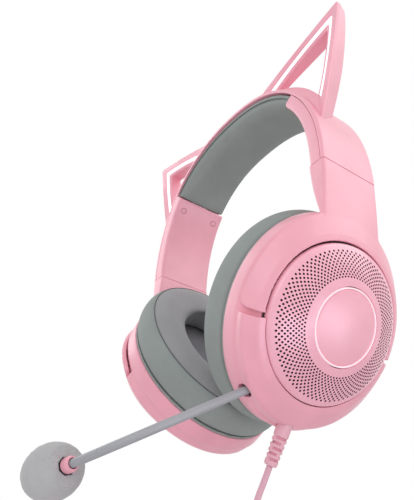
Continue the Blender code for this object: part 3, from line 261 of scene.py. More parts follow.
GRILLE_ROUND = ((0.0004, 0.00045), (0.0001, 0.0010), (0.0, 0.0016))
WELL_DEPTH = 0.0016
LINER_INSET = 0.0016
LINER_MARGIN = 0.0004
LINER_TOP = 0.00085
LINER_BOTTOM = 0.0016
RING_CROWN = 0.00025
CENTRE_FOOT = 0.0017
CENTRE_ROUND = ((0.0, 0.0004), (0.0002, 0.0001))
CENTRE_EDGE = 0.0006
CENTRE_HUB = 0.0004
FOAM_LIP = 0.0012
ARM_SEAM = 0.00012
PORT_SHADE = 0.0042
CUSHION_SWELL = 0.0008
CUSHION_THREAD = 0.0003
CUSHION_STEPS = 128
CUSHION_PRESSURE = 4.0
CUSHION_SIDE_POWER = 0.55
CUSHION_FACE_POWER = 0.6
CUSHION_FACE_LEAN = 0.85
CUSHION_FACE_SINK = 0.0004
CUSHION_HOLE_RISE = 0.0012
CUSHION_HOLE_FIRM = 0.25
CUSHION_FLARE_POWER = 1.5
SEAM_STEPS = 220
VEIL_STEPS = 72
VEIL_SAG = 0.0011
VEIL_SINK = 0.0004
VEIL_HUB = 0.03
# Height of the thin rings of painted shade in the gaps round the disc and the boom
SHADE_RISE = 0.0004
YOKE_VOXEL = 0.00045
YOKE_FIRM = 0.004
YOKE_SMOOTH = 4
YOKE_HELD = 0.2
ARM_STEPS = 28
ARM_COLUMNS = 18
BUSH_EDGES = (0.0003, 0.0005)
COLLAR_EDGES = (0.0002, 0.0005, 0.0008, 0.0004)
COLLAR_SHOULDER = 0.3
COLLAR_HUB = 0.0006
FOAM_START = 0.18
FOAM_END = 0.985
FOAM_POWER = 0.60
FOAM_CELLS = ((420, 0.00014), (1100, 0.00010))
TIE_EDGE = 0.0012
TIE_SECTION = ((0, -0.96), (0.15, -1), (0.85, -1), (1, -0.96), (1, 0.96), (0.85, 1), (0.15, 1), (0, 0.96))
PLUG_EDGE = 0.0018
PLUG_TOP = ((0.55, 0.62, 0.0016, 0.0), (0.66, 0.74, PLUG_EDGE, 0.0006))
PLUG_END = ((0.0004, 0.0017, 0.0004), (0.0012, 0.0014, 0.0))
PLUG_ROUND = 0.0012
PLUG_RIB = 0.00022
PLUG_RIBS = 9
PLUG_RIB_FROM = 0.18
PLUG_RIB_TO = 0.62
PLUG_NECK = 0.74
PLUG_NECK_RUN = 0.16
PLUG_NECK_POWER = 0.6
PLUG_LIP = ((0, 0), (0, 0.97), (0.3, 1), (0.7, 1), (1, 0.97), (1, 0))
PLUG_SHELL_EDGE = 0.0004
PLUG_WINDOW = 0.0022
PLUG_WINDOW_X = 0.0027
PLUG_WINDOW_SHARE = 0.52
RELIEF_TAPER = 0.86
RELIEF_ROUND = 0.0008
RELIEF_END = 0.80
RELIEF_RINGS = 140
RELIEF_SIDES = 48
RELIEF_SLOT = 0.0015
RELIEF_SLOT_FROM = 0.28
RELIEF_SLOT_EDGE = 9
WHEEL_STEPS = 240
WHEEL_HUB = 0.0016
WHEEL_EDGE = 0.0005
WHEEL_TOOTH = 0.00028
WHEEL_TEETH = 40
WHEEL_MILLED = 0.9

# Fineness of the shaped pieces
ARCH_STEPS = 120
OVAL_STEPS = 144
TURN_STEPS = 96
EDGE_STEPS = 30
SMALL_STEPS = 40
BUSH_STEPS = 48
PUFF_SCALE = 20.0
PUFF_FRAMES = 16
CLOTH = {"vertex_group_mass": "held", "use_pressure": True, "quality": 5, "mass": 0.3,
         "tension_stiffness": 12.0, "compression_stiffness": 12.0, "bending_stiffness": 0.8}

# Camera, as fitted to the photograph
CAMERA_PLACE = (0.2205, -0.1771, -0.2616)
CAMERA_AHEAD = (-0.6982, 0.4683, 0.5414)
CAMERA_RIGHT = (0.5791, 0.8141, 0.0426)
CAMERA_LENS = 42.67
CAMERA_SENSOR = 36.0

# Lamps: name, way from the middle, distance, power, size and colour
LAMPS_MIDDLE = Vector((0.02, 0.0, -0.09))
LAMPS = (
    ("key", (0.70, 0.45, 0.62), 0.95, 2.6, 0.7, (1.0, 0.98, 0.97)),
    ("fill", (0.62, -0.76, 0.10), 0.95, 2.0, 0.6, (0.97, 0.97, 1.0)),
    ("rim", (-0.75, -0.35, 0.55), 0.95, 1.6, 0.6, (1.0, 1.0, 1.0)),
    ("sheen", (0.772, 0.330, -0.543), 0.40, 0.7, 0.24, (0.88, 0.88, 1.0)),
    ("lavender", (0.694, -0.104, -0.712), 0.29, 0.14, 0.10, (0.85, 0.75, 1.0)),
)
GLINTS = ("sheen", "lavender")
WORLD_COLOUR = (0.98, 0.98, 1.0, 1.0)
WORLD_STRENGTH = 0.62
FLOOR_BELOW = 0.012
FLOOR_SIZE = 1.6

# Spread of every material's colour and polish
BROAD_SCALE = 60.0
BROAD_RAMP = (0.3, 0.7)
ROUGH_VARY = 0.06

# Looks of the solids that stay as they are, by the start of their names
HIDDEN_LOOKS = (("baffle", "leatherette"), ("driver_frame", "black"), ("driver_diaphragm", "boom"),
                ("led_board", "board"), ("circuit_board", "board"), ("spring_band", "steel"),
                ("harness_wire", "black"), ("slider_strip", "steel"), ("pivot_pin", "steel"),
                ("mic_capsule", "black"), ("usb_plug_tongue", "black"))


def blend(low, high, share):
    """Value part of the way from low to high."""
    return low + (high - low) * share


def spread(low, high, steps):
    """Even values from low to high."""
    return [blend(low, high, step / steps) for step in range(steps + 1)]


# Materials
def tone(red, green, blue):
    """Linear colour of an 8-bit screen colour."""
    parts = []
    for value in (red, green, blue):
        share = value / 255
        parts.append(share / 12.92 if share <= 0.04045 else ((share + 0.055) / 1.055) ** 2.4)
    return parts


def add_node(tree, kind, **values):
    """New shader node with some of its sockets set."""
    made = tree.nodes.new(f"ShaderNode{kind}")
    for socket, value in values.items():
        made.inputs[socket.replace("_", " ")].default_value = value
    return made


def add_math(tree, operation, first, second):
    """Outcome of a sum on two sockets."""
    made = add_node(tree, "Math")
    made.operation = operation
    tree.links.new(first, made.inputs[0])
    tree.links.new(second, made.inputs[1])
    return made.outputs["Value"]


def height_of(tree, coords, pattern, scale):
    """Height socket of a surface pattern."""
    links = tree.links
    if pattern == "weave":
        waves = []
        for direction in ("X", "Z"):
            wave = add_node(tree, "TexWave", Scale=scale, Distortion=1.2, Detail=2.0)
            wave.bands_direction = direction
            links.new(coords, wave.inputs["Vector"])
            waves.append(wave.outputs["Fac"])
        return add_math(tree, "MULTIPLY", *waves)
    grain = add_node(tree, "TexNoise", Scale=scale, Detail=4.0)
    links.new(coords, grain.inputs["Vector"])
    if pattern == "grain":
        return grain.outputs["Fac"]
    cells = add_node(tree, "TexVoronoi", Scale=scale)
    cells.feature = "SMOOTH_F1" if pattern == "leather" else "F1"
    links.new(coords, cells.inputs["Vector"])
    half = add_node(tree, "Math")
    half.operation = "MULTIPLY_ADD"
    half.inputs[1].default_value = 0.5
    links.new(grain.outputs["Fac"], half.inputs[0])
    links.new(cells.outputs["Distance"], half.inputs[2])
    return half.outputs["Value"]


def look(name, colour, rough, pattern="grain", scale=900.0, bump=0.15, depth=0.0001, vary=0.04, **extra):
    """Principled material with broad colour variation and a fine surface pattern."""
    made = bpy.data.materials.new(name)
    made.use_nodes = True
    tree = made.node_tree
    links = tree.links
    shader = tree.nodes["Principled BSDF"]
    for socket, value in extra.items():
        shader.inputs[socket.replace("_", " ")].default_value = value
    coords = add_node(tree, "TexCoord").outputs["Object"]
    broad = add_node(tree, "TexNoise", Scale=BROAD_SCALE, Detail=3.0)
    links.new(coords, broad.inputs["Vector"])
    ramp = add_node(tree, "ValToRGB")
    low, high = ramp.color_ramp.elements
    low.position, high.position = BROAD_RAMP
    low.color = (*[part * (1 - vary) for part in colour], 1.0)
    high.color = (*[min(1.0, part * (1 + vary)) for part in colour], 1.0)
    links.new(broad.outputs["Fac"], ramp.inputs["Fac"])
    links.new(ramp.outputs["Color"], shader.inputs["Base Color"])
    height = height_of(tree, coords, pattern, scale)
    smoothest, roughest = max(0.02, rough - ROUGH_VARY), min(1.0, rough + ROUGH_VARY)
    polish = add_node(tree, "MapRange", To_Min=smoothest, To_Max=roughest)
    links.new(height, polish.inputs["Value"])
    links.new(polish.outputs["Result"], shader.inputs["Roughness"])
    relief = add_node(tree, "Bump", Strength=bump, Distance=depth)
    links.new(height, relief.inputs["Height"])
    links.new(relief.outputs["Normal"], shader.inputs["Normal"])
    return made


PINK = tone(246, 172, 187)
WHITE = (1.0, 1.0, 1.0, 1.0)
looks = {
    "pink": look("satin_pink", PINK, 0.36, scale=1400.0, bump=0.06, Coat_Weight=0.15, Coat_Roughness=0.25),
    "disc_pink": look("disc_pink", tone(252, 182, 198), 0.27, scale=1400.0, bump=0.04,
                      Coat_Weight=0.25, Coat_Roughness=0.18),
    "ring_glow": look("ring_glow", tone(250, 226, 232), 0.3, scale=500.0, bump=0.02, vary=0.01,
                      Emission_Color=(1.0, 0.9, 0.93, 1.0), Emission_Strength=0.22),
    "cap_glow": look("glow_pink", tone(252, 180, 195), 0.34, scale=1400.0, bump=0.03,
                     Coat_Weight=0.3, Coat_Roughness=0.32),
    "leatherette": look("leatherette", tone(148, 155, 151), 0.68, "leather", 1500.0, 0.35, 0.0002, 0.05,
                        Specular_IOR_Level=0.3),
    "fabric": look("cushion_fabric", tone(158, 158, 159), 0.92, "weave", 620.0, 0.5, 0.0002, 0.05,
                   Sheen_Weight=0.25),
    "mesh": look("driver_cloth", tone(128, 128, 132), 0.95, "weave", 420.0, 0.7, 0.0003, 0.06),
    "thread": look("thread", tone(98, 102, 101), 0.85, "weave", 1500.0, 0.4, 0.0001, 0.06),
    "foam": look("foam", tone(184, 184, 184), 0.98, "foam", 1500.0, 0.5, 0.0003, 0.05, Sheen_Weight=0.2),
    "boom": look("boom_grey", tone(166, 167, 171), 0.45, scale=1100.0, bump=0.15),
    "rubber": look("soft_pink", tone(236, 178, 191), 0.5, scale=1100.0, bump=0.15),
    "cord": look("cord_pink", tone(228, 176, 190), 0.55, scale=1300.0, bump=0.2),
    "light": look("light_bar", tone(250, 250, 252), 0.3, scale=500.0, bump=0.02, vary=0.01,
                  Emission_Color=WHITE, Emission_Strength=0.55),
    # Painted shade: deep maroon laid in gaps, grooves, hole walls and under the grille holes, where shade
    # falls
    "dark": look("grille_painted_shade", tone(48, 12, 24), 0.8, scale=700.0, bump=0.2),
    "black": look("black_plastic", tone(34, 34, 36), 0.5, scale=900.0, bump=0.2),
    "steel": look("bright_steel", tone(198, 200, 203), 0.24, scale=1800.0, bump=0.06, Metallic=1.0),
    "board": look("board_green", tone(30, 92, 58), 0.45, "foam", 500.0, 0.2),
    "strap": look("hook_strap", tone(38, 38, 41), 0.95, "weave", 900.0, 0.7, 0.0003, 0.1),
}


# Pieces
def piece(name, mesh, kinds, body, nodes=(), sharp=40):
    """Object from a bmesh in the row frame, riding on a body and standing for CAD nodes."""
    kinds = [kinds] if isinstance(kinds, str) else kinds
    data = bpy.data.meshes.new(name)
    bmesh.ops.recalc_face_normals(mesh, faces=mesh.faces)
    mesh.to_mesh(data)
    mesh.free()
    for kind in kinds:
        data.materials.append(looks[kind])
    data.shade_smooth()
    data.set_sharp_from_angle(angle=math.radians(sharp))
    return settle_in(bpy.data.objects.new(name, data), body, nodes)


def settle_in(thing, body, nodes):
    """Link a piece, and say what it rides on and stands for."""
    scene.collection.objects.link(thing)
    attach(thing, body)
    if nodes:
        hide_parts(*nodes)
    return thing


def skin(rings, looped=False, capped=True):
    """Mesh over equal closed rings of points, capped at both ends or joined into a loop."""
    mesh = bmesh.new()
    rows = [[mesh.verts.new(point) for point in ring] for ring in rings]
    pairs = list(zip(rows, rows[1:]))
    if looped:
        pairs.append((rows[-1], rows[0]))
    elif capped:
        mesh.faces.new(rows[0])
        mesh.faces.new(rows[-1])
    for low, high in pairs:
        for this in range(len(low)):
            after = (this + 1) % len(low)
            mesh.faces.new((low[this], low[after], high[after], high[this]))
    return mesh


def moved(mesh, matrix):
    """The same mesh in another frame."""
    mesh.transform(matrix)
    return mesh


def oval(half_u, half_v, level, steps=OVAL_STEPS):
    """Ring of points on an oval at one level."""
    turns = [math.tau * step / steps for step in range(steps)]
    return [Vector((half_u * math.cos(turn), half_v * math.sin(turn), level)) for turn in turns]


def polar(radius, turn, level):
    """Point at a radius, an angle round Z and a level."""
    return Vector((radius * math.cos(turn), radius * math.sin(turn), level))


def turned(profile, steps=TURN_STEPS):
    """Solid turned round Z from (radius, level) points."""
    return skin([oval(radius, radius, level, steps) for radius, level in profile])


def turned_ring(profile, steps=TURN_STEPS):
    """Ring turned round Z from a closed (radius, level) outline clear of the axis."""
    rings = []
    for step in range(steps):
        turn = Matrix.Rotation(math.tau * step / steps, 4, "Z")
        rings.append([turn @ Vector((radius, 0.0, level)) for radius, level in profile])
    return skin(rings, looped=True)


def rounded(corners, steps=4):
    """Outline of (point, radius) corners with each corner rounded."""
    made = []
    neighbours = zip(corners[-1:] + corners[:-1], corners, corners[1:] + corners[:1])
    for before, (corner, radius), after in neighbours:
        corner = Vector(corner)
        if radius == 0:
            made.append(corner)
            continue
        back = Vector(before[0]) - corner
        on = Vector(after[0]) - corner
        reach = min(radius / math.tan(back.angle(on) / 2), back.length * 0.49, on.length * 0.49)
        first = corner + back.normalized() * reach
        last = corner + on.normalized() * reach
        for s in spread(0.0, 1.0, steps):
            made.append(first * (1 - s) ** 2 + corner * 2 * s * (1 - s) + last * s * s)
    return made


def along(start, direction):
    """Frame at a point with its Z along a direction."""
    turn = Vector(direction).to_track_quat("Z", "Y").to_matrix().to_4x4()
    return Matrix.Translation(start) @ turn


def swept(points, radius, sides=16, looped=False):
    """Tube round a run of points, with a frame carried along it."""
    rings = []
    count = len(points)
    normal = None
    for index, point in enumerate(points):
        if looped:
            way = points[(index + 1) % count] - points[index - 1]
        else:
            way = points[min(index + 1, count - 1)] - points[max(index - 1, 0)]
        way = way.normalized()
        if normal is None:
            normal = way.orthogonal().normalized()
        normal = (normal - way * normal.dot(way)).normalized()
        other = way.cross(normal)
        thick = radius(index / (count - 1)) if callable(radius) else radius
        rings.append([point + (normal * math.cos(a) + other * math.sin(a)) * thick
                      for a in spread(0.0, math.tau, sides)[:-1]])
    return skin(rings, looped)


def settled(thing):
    """Apply an object's modifiers to its mesh."""
    graph = bpy.context.evaluated_depsgraph_get()
    graph.update()
    data = bpy.data.meshes.new_from_object(thing.evaluated_get(graph))
    old = thing.data
    thing.modifiers.clear()
    thing.data = data
    bpy.data.meshes.remove(old)
    return thing


def cut(thing, mesh, operation="DIFFERENCE"):
    """Cut a mesh out of a piece, or join it to the piece."""
    data = bpy.data.meshes.new("cutter")
    bmesh.ops.recalc_face_normals(mesh, faces=mesh.faces)
    mesh.to_mesh(data)
    mesh.free()
    tool = bpy.data.objects.new("cutter", data)
    scene.collection.objects.link(tool)
    step = thing.modifiers.new("cut", "BOOLEAN")
    step.operation = operation
    step.solver = "EXACT"
    step.object = tool
    settled(thing)
    bpy.data.objects.remove(tool)
    bpy.data.meshes.remove(data)


def puffed(thing, held, pressure, limit):
    """Swell a soft piece by cloth simulation; held gives how firmly each point is sewn down."""
    data = thing.data
    rest = [vert.co.copy() for vert in data.vertices]
    group = thing.vertex_groups.new(name="held")
    for index, firm in enumerate(held):
        group.add([index], firm, "REPLACE")
    data.transform(Matrix.Scale(PUFF_SCALE, 4))
    step = thing.modifiers.new("cloth", "CLOTH")
    for name, value in CLOTH.items():
        setattr(step.settings, name, value)
    step.settings.uniform_pressure_force = pressure
    step.settings.effector_weights.gravity = 0.0
    step.point_cache.frame_start = 1
    step.point_cache.frame_end = PUFF_FRAMES
    for number in range(1, PUFF_FRAMES + 1):
        scene.frame_set(number)
    graph = bpy.context.evaluated_depsgraph_get()
    swollen = bpy.data.meshes.new_from_object(thing.evaluated_get(graph))
    ends = [vert.co / PUFF_SCALE for vert in swollen.vertices]
    thing.modifiers.remove(step)
    scene.frame_set(1)
    for vert, start, end in zip(data.vertices, rest, ends):
        shift = end - start
        if shift.length > limit:
            shift *= limit / shift.length
        vert.co = start + shift
    data.update()
    bpy.data.meshes.remove(swollen)
    thing.vertex_groups.clear()


def finer(thing):
    """Add one level of subdivision."""
    step = thing.modifiers.new("finer", "SUBSURF")
    step.levels = 1
    step.render_levels = 1
    return thing


# Camera
def make_camera():
    """Camera where the photograph was taken from."""
    data = bpy.data.cameras.new("camera")
    data.lens = CAMERA_LENS
    data.sensor_width = CAMERA_SENSOR
    camera = bpy.data.objects.new("camera", data)
    ahead = Vector(CAMERA_AHEAD).normalized()
    right = Vector(CAMERA_RIGHT)
    right = (right - ahead * right.dot(ahead)).normalized()
    turn = Matrix((right, right.cross(ahead), -ahead)).transposed().to_4x4()
    camera.matrix_world = Matrix.Translation(CAMERA_PLACE) @ turn
    scene.collection.objects.link(camera)
    scene.camera = camera


# Headband
def arch_point(angle, lift=0.0):
    """Point on the arch's outer face, or a lift above it."""
    power = 2 / ARCH_SQUARENESS
    across = math.copysign(abs(math.cos(angle)) ** power, math.cos(angle))
    rise = abs(math.sin(angle)) ** power
    return Vector(((ARCH_HALF_SPAN + lift) * across, 0.0, ARCH_Z + (ARCH_RISE + lift) * rise))


def arch_inward(angle):
    """Unit normal of the arch, pointing to the head."""
    point = arch_point(angle)
    power = ARCH_SQUARENESS - 1
    across = math.copysign((abs(point.x) / ARCH_HALF_SPAN) ** power, point.x) / ARCH_HALF_SPAN
    rise = (abs(point.z - ARCH_Z) / ARCH_RISE) ** power / ARCH_RISE
    return -Vector((across, 0.0, rise)).normalized()


def arch_ring(angle, section):
    """Ring of (y, depth) points set on the arch."""
    start = arch_point(angle)
    inward = arch_inward(angle)
    return [start + inward * depth + Vector((0.0, y, 0.0)) for y, depth in section]


def make_band():
    """Arch plate with rounded edges."""
    half = BAND_DEPTH / 2
    edge = BAND_EDGE
    section = rounded([((-half, 0.0), edge), ((half, 0.0), edge), ((half, BAND_WALL), edge / 5),
                       ((-half, BAND_WALL), edge / 5)], 5)
    rings = [arch_ring(angle, section) for angle in spread(0.0, math.pi, ARCH_STEPS)]
    piece("band", skin(rings), "pink", "headband", ["headband_shell"])


def pad_thickness(angle):
    """Thickness of the pad at one angle of the arch."""
    share = (math.sin(angle) - math.sin(PAD_END_ANGLE)) / (1 - math.sin(PAD_END_ANGLE))
    return blend(CAP_THICKNESS, PAD_THICKNESS, share)


def make_pad():
    """Headband pad: crowned, sewn down along its edges and swelled between them."""
    half = BAND_DEPTH / 2
    rings = []
    firm = []
    angles = spread(PAD_END_ANGLE, math.pi - PAD_END_ANGLE, PAD_STEPS)
    for number, angle in enumerate(angles):
        thick = pad_thickness(angle)
        end = min(number, len(angles) - 1 - number)
        tuck = 1.0 - PAD_TUCK * math.exp(-end / PAD_TUCK_RUN)
        foot = half - PAD_DRAW_IN
        side = half - PAD_DRAW_IN * PAD_FOOT_DRAW
        low = PAD_TOP + thick * PAD_FOOT_SHARE
        section = [(foot, PAD_TOP), (side, low)]
        for turn in spread(0.0, math.pi, PAD_CROWN_STEPS):
            across = math.copysign(abs(math.cos(turn)) ** PAD_SQUARENESS, math.cos(turn))
            rise = blend(PAD_SIDE_SHARE, 1.0, math.sin(turn) ** PAD_CROWN_POWER)
            section.append((half * across, PAD_TOP + thick * tuck * rise))
        section += [(-side, low), (-foot, PAD_TOP)]
        floor = PAD_TOP + PAD_CHANNEL_DEPTH
        channel = [(PAD_CHANNEL_FRONT, PAD_TOP), (PAD_CHANNEL_FRONT, floor)]
        channel += [(PAD_CHANNEL_REAR, floor), (PAD_CHANNEL_REAR, PAD_TOP)]
        rings.append(arch_ring(angle, section + channel))
        count = len(section)
        for index in range(count + len(channel)):
            edge = index < 2 or index >= count - 2
            firm.append(1.0 if edge or end < 1 else PAD_GIVE)
    pad = piece("pad", skin(rings), "leatherette", "headband", ["headband_pad"])
    puffed(pad, firm, PAD_PRESSURE, PAD_SWELL)
    finer(pad)
    for side, sign in (("front", -1), ("rear", 1)):
        line = []
        for angle in angles[1:-1]:
            depth = PAD_TOP + pad_thickness(angle) * PAD_SEAM_SHARE
            line.append(arch_ring(angle, [(sign * (half - SEAM_SINK), depth)])[0])
        piece(f"pad_seam_{side}", swept(line, PAD_SEAM_RADIUS, 8), "thread", "headband")


def cap_floor(angle):
    """Depth of an end cap's underside, which rounds off toward the pad."""
    left = (PAD_END_ANGLE - angle) * ARCH_RISE
    past = CAP_ROUND ** 2 - (CAP_ROUND - left) ** 2
    drop = 0.0 if left > CAP_ROUND else CAP_ROUND - math.sqrt(max(0.0, past))
    return PAD_TOP + CAP_THICKNESS - drop * CAP_ROUND_SHARE


def make_end_cap(side, mirrored):
    """Cap under one end of the arch, with two flush screw covers."""
    half = BAND_DEPTH / 2
    clear = GAP / ARCH_RISE
    stop = PAD_END_ANGLE - clear
    angles = spread(0.0, stop - CAP_END_TURN, 40) + spread(stop - CAP_FINE_TURN, stop, 7)
    rings = []
    for angle in angles:
        floor = cap_floor(angle)
        inner = min(floor - CAP_FLOOR, PAD_TOP + CAP_THICKNESS - CAP_FLOOR)
        right = [((half, floor), CAP_EDGE), ((half, PAD_TOP), CAP_TOP_EDGE)]
        right += [((CAP_CHANNEL_HALF, PAD_TOP), 0.0), ((CAP_CHANNEL_HALF, inner), 0.0)]
        left = [((-y, depth), radius) for (y, depth), radius in reversed(right)]
        ring = arch_ring(angle, rounded(right + left, 5))
        if mirrored:
            ring = [Vector((-p.x, p.y, p.z)) for p in ring]
        rings.append(ring)
    piece(f"end_cap_shaped_{side}", skin(rings), "pink", "headband", [f"end_cap_{side}"])
    inward = arch_inward(SCREW_ANGLE)
    seat = arch_point(SCREW_ANGLE) + inward * (PAD_TOP + CAP_THICKNESS)
    for end, y in (("front", -SCREW_Y), ("rear", SCREW_Y)):
        place = along(seat + Vector((0.0, y, 0.0)), inward)
        cover = turned([(SCREW_HEAD_RADIUS * share, level) for share, level in SCREW_COVER], SMALL_STEPS)
        # Thin deep maroon ring round each cover: painted shade in its groove
        rim = turned_ring([(SCREW_HEAD_RADIUS * share, level) for share, level in SCREW_GROOVE_SHADE], SMALL_STEPS)
        flip = Matrix.Diagonal((-1.0 if mirrored else 1.0, 1.0, 1.0, 1.0))
        node = f"end_cap_screw_{side}_{end}"
        piece(f"screw_cover_{side}_{end}", moved(cover, flip @ place), "pink", "headband", [node])
        piece(f"screw_groove_shade_{side}_{end}", moved(rim, flip @ place), "dark", "headband")


# Ears
def over_arch(point, lift):
    """Positive outside the lifted arch, negative inside it."""
    across = abs(point.x) / (ARCH_HALF_SPAN + lift)
    rise = abs(point.z - ARCH_Z) / (ARCH_RISE + lift)
    return across ** ARCH_SQUARENESS + rise ** ARCH_SQUARENESS - 1


def reach_arch(start, direction, lift):
    """Where a line from outside first meets the lifted arch."""
    near = 0.0
    far = EAR_TIP_RISE - EAR_DEPTH
    while far - near > GAP / 100:
        middle = (near + far) / 2
        if over_arch(start + direction * middle, lift) > 0:
            near = middle
        else:
            far = middle
    return start + direction * near


def ear_edges(inset, lift, outer_angle=EAR_OUTER_ANGLE):
    """The two sides of an ear, each from its foot to the tip, drawn in by an inset."""
    tip = Vector((EAR_TIP_X, 0.0, ARCH_Z + EAR_TIP_RISE))
    inner = (arch_point(EAR_INNER_ANGLE) - tip).normalized()
    outer = (arch_point(outer_angle) - tip).normalized()
    middle = (inner + outer).normalized()
    tip += middle * inset / math.sin(inner.angle(outer) / 2)
    sides = []
    for direction, bow in ((inner, EAR_BOW_INNER), (outer, EAR_BOW_OUTER)):
        foot = reach_arch(tip, direction, lift)
        out = (direction - middle * direction.dot(middle)).normalized()
        start = tip + direction * EAR_TIP_RADIUS
        shares = spread(0.0, 1.0, EDGE_STEPS)
        sides.append([foot.lerp(start, s) + out * bow * 4 * s * (1 - s) for s in shares])
    return sides


def ear_outline(inset, lift, outer_angle):
    """Closed outline of an ear: up one side, round the tip, down the other and back along the arch."""
    inner, outer = ear_edges(inset, lift, outer_angle)
    power = ARCH_SQUARENESS / 2
    span = ARCH_HALF_SPAN + lift
    ends = [math.acos((point.x / span) ** power) for point in (outer[0], inner[0])]
    base = [arch_point(angle, lift) for angle in spread(*ends, EDGE_STEPS)]
    peak = inner[-1] + (inner[-1] - inner[-2]).normalized() * (inner[-1] - outer[-1]).length * 0.45
    round_tip = []
    for s in (0.25, 0.5, 0.75):
        round_tip.append(inner[-1] * (1 - s) ** 2 + peak * 2 * s * (1 - s) + outer[-1] * s * s)
    return inner + round_tip + outer[::-1] + base[1:-1]


def mirror_x(mesh, mirrored):
    """The mesh, or its mirror image across the middle of the head."""
    if mirrored:
        mesh.transform(Matrix.Diagonal((-1.0, 1.0, 1.0, 1.0)))
    return mesh


def ear_depth(point):
    """Depth of an ear behind its front ridge: thin at the tip and toward the crown."""
    tip = Vector((EAR_TIP_X, 0.0, ARCH_Z + EAR_TIP_RISE))
    reach = (arch_point(EAR_OUTER_ANGLE) - tip).length
    swell = min(1.0, (point - tip).length / reach) ** EAR_SWELL_POWER
    crown = arch_point(EAR_INNER_ANGLE).x
    share = min(1.0, max(0.0, (point.x - crown) / (EAR_FULL_X - crown)))
    return EAR_DEPTH * blend(EAR_TIP_SHARE, 1.0, swell * share)


def ear_frame(outlines, mirrored):
    """Frame of an ear from outlines of (inset, lift, outer angle, even depth, share of the full depth)."""
    rings = []
    for inset, lift, outer_angle, depth, share in outlines:
        ring = []
        for point in ear_outline(inset, lift, outer_angle):
            ring.append(point + Vector((0.0, EAR_FRONT_Y + blend(depth, ear_depth(point), share), 0.0)))
        rings.append(ring)
    return mirror_x(skin(list(map(list, zip(*rings))), looped=True), mirrored)


def ear_strip(margin, ahead, behind, mirrored):
    """Bent strip that follows both sides of an ear on its dished face."""
    runs = []
    for inset in (EAR_LIGHT_INSET - margin, EAR_LIGHT_INSET + EAR_LIGHT_SHOWN + margin):
        inner, outer = ear_edges(inset, EAR_LIGHT_LIFT - margin)
        level = Vector((0.0, EAR_FRONT_Y + EAR_DISH * inset, 0.0))
        runs.append([point + level for point in inner + outer[::-1]])
    front = Vector((0.0, ahead, 0.0))
    back = Vector((0.0, behind, 0.0))
    rings = [[near + front, far + front, far + back, near + back] for near, far in zip(*runs)]
    return mirror_x(skin(rings), mirrored)


def make_ear(side, mirrored):
    """Rear shell, dished front bezel and the light bar let into it."""
    sink = EAR_DISH * EAR_FRAME
    web = EAR_WEB + GAP
    parting = EAR_BEZEL + EAR_SEAM
    shell = []
    for share in spread(0.0, 1.0, 4):
        angle = blend(EAR_OUTER_ANGLE, EAR_BACK_ANGLE, share)
        shell.append((EAR_SIDE_INSET * share, EAR_SEAM, angle, parting, EAR_SIDE_SHARE * share))
    for turn in spread(0.0, math.pi / 2, 4)[1:]:
        inset = blend(EAR_SIDE_INSET, EAR_BACK_INSET, 1 - math.cos(turn))
        depth = blend(EAR_SIDE_SHARE, 1.0, math.sin(turn))
        shell.append((inset, EAR_SEAM, EAR_BACK_ANGLE, parting, depth))
    shell.append((EAR_FRAME - EAR_ROUND, web - EAR_ROUND, EAR_OUTER_ANGLE, parting, 1.0))
    shell.append((EAR_FRAME, web, EAR_OUTER_ANGLE, parting, EAR_ROUND_SHARE))
    shell.append((EAR_FRAME, web, EAR_OUTER_ANGLE, sink + parting, 0.0))
    piece(f"ear_back_{side}", ear_frame(shell, mirrored), "pink", "headband", [f"ear_shell_{side}"], 35)
    rows = [(EAR_ROUND, EAR_SEAM, 0.0), (EAR_ROUND / 4, EAR_SEAM, EAR_ROUND / 4)]
    rows += [(0.0, EAR_SEAM, EAR_ROUND), (0.0, EAR_SEAM, EAR_BEZEL)]
    rows += [(EAR_FRAME, web, sink + EAR_BEZEL), (EAR_FRAME, web, sink + EAR_ROUND)]
    rows.append((EAR_FRAME - EAR_ROUND, web - EAR_ROUND, sink - EAR_DISH * EAR_ROUND))
    bezel = ear_frame([(inset, lift, EAR_OUTER_ANGLE, depth, 0.0) for inset, lift, depth in rows], mirrored)
    front = piece(f"ear_front_{side}", bezel, "pink", "headband", [f"ear_bezel_{side}"], 35)
    cut(front, ear_strip(EAR_SEAM, -EAR_BEZEL, EAR_LIGHT_DEPTH + GAP, mirrored))
    bar = ear_strip(0.0, EAR_SEAM, EAR_LIGHT_DEPTH, mirrored)
    piece(f"ear_light_bar_{side}", bar, "light", "headband", [f"ear_light_{side}"])


# Cups
def cup_frame():
    """Frame of the left cup: u to the back, v up the oval, w outward."""
    u = Vector((0.0, 1.0, 0.0))
    v = Vector((math.sin(CUP_CANT), 0.0, math.cos(CUP_CANT)))
    turn = Matrix((u, v, u.cross(v))).transposed().to_4x4()
    return Matrix.Translation((CUP_X, 0.0, ARCH_Z - CUP_DROP)) @ turn


def shoulder(share):
    """Half axes and level on the cup's shoulder, from its rim to the lip."""
    rise = share + SHOULDER_BULGE * 4 * share * (1 - share)
    half_u = blend(CUP_HALF_U, LIP_RADIUS, share)
    half_v = blend(CUP_HALF_V, LIP_RADIUS, share)
    return half_u, half_v, blend(SHOULDER_W, LIP_W, rise)


def dome_level(radius):
    """Level of the grille's dome, a sphere through its rim and its inner circle."""
    lean = DISC_RADIUS ** 2 - GRILLE_INNER_RADIUS ** 2
    lift = GRILLE_INNER_W ** 2 - DISC_RIM_W ** 2
    centre = (lift - lean) / (2 * (GRILLE_INNER_W - DISC_RIM_W))
    ball = math.hypot(DISC_RADIUS, DISC_RIM_W - centre)
    return centre + math.sqrt(ball ** 2 - radius ** 2)


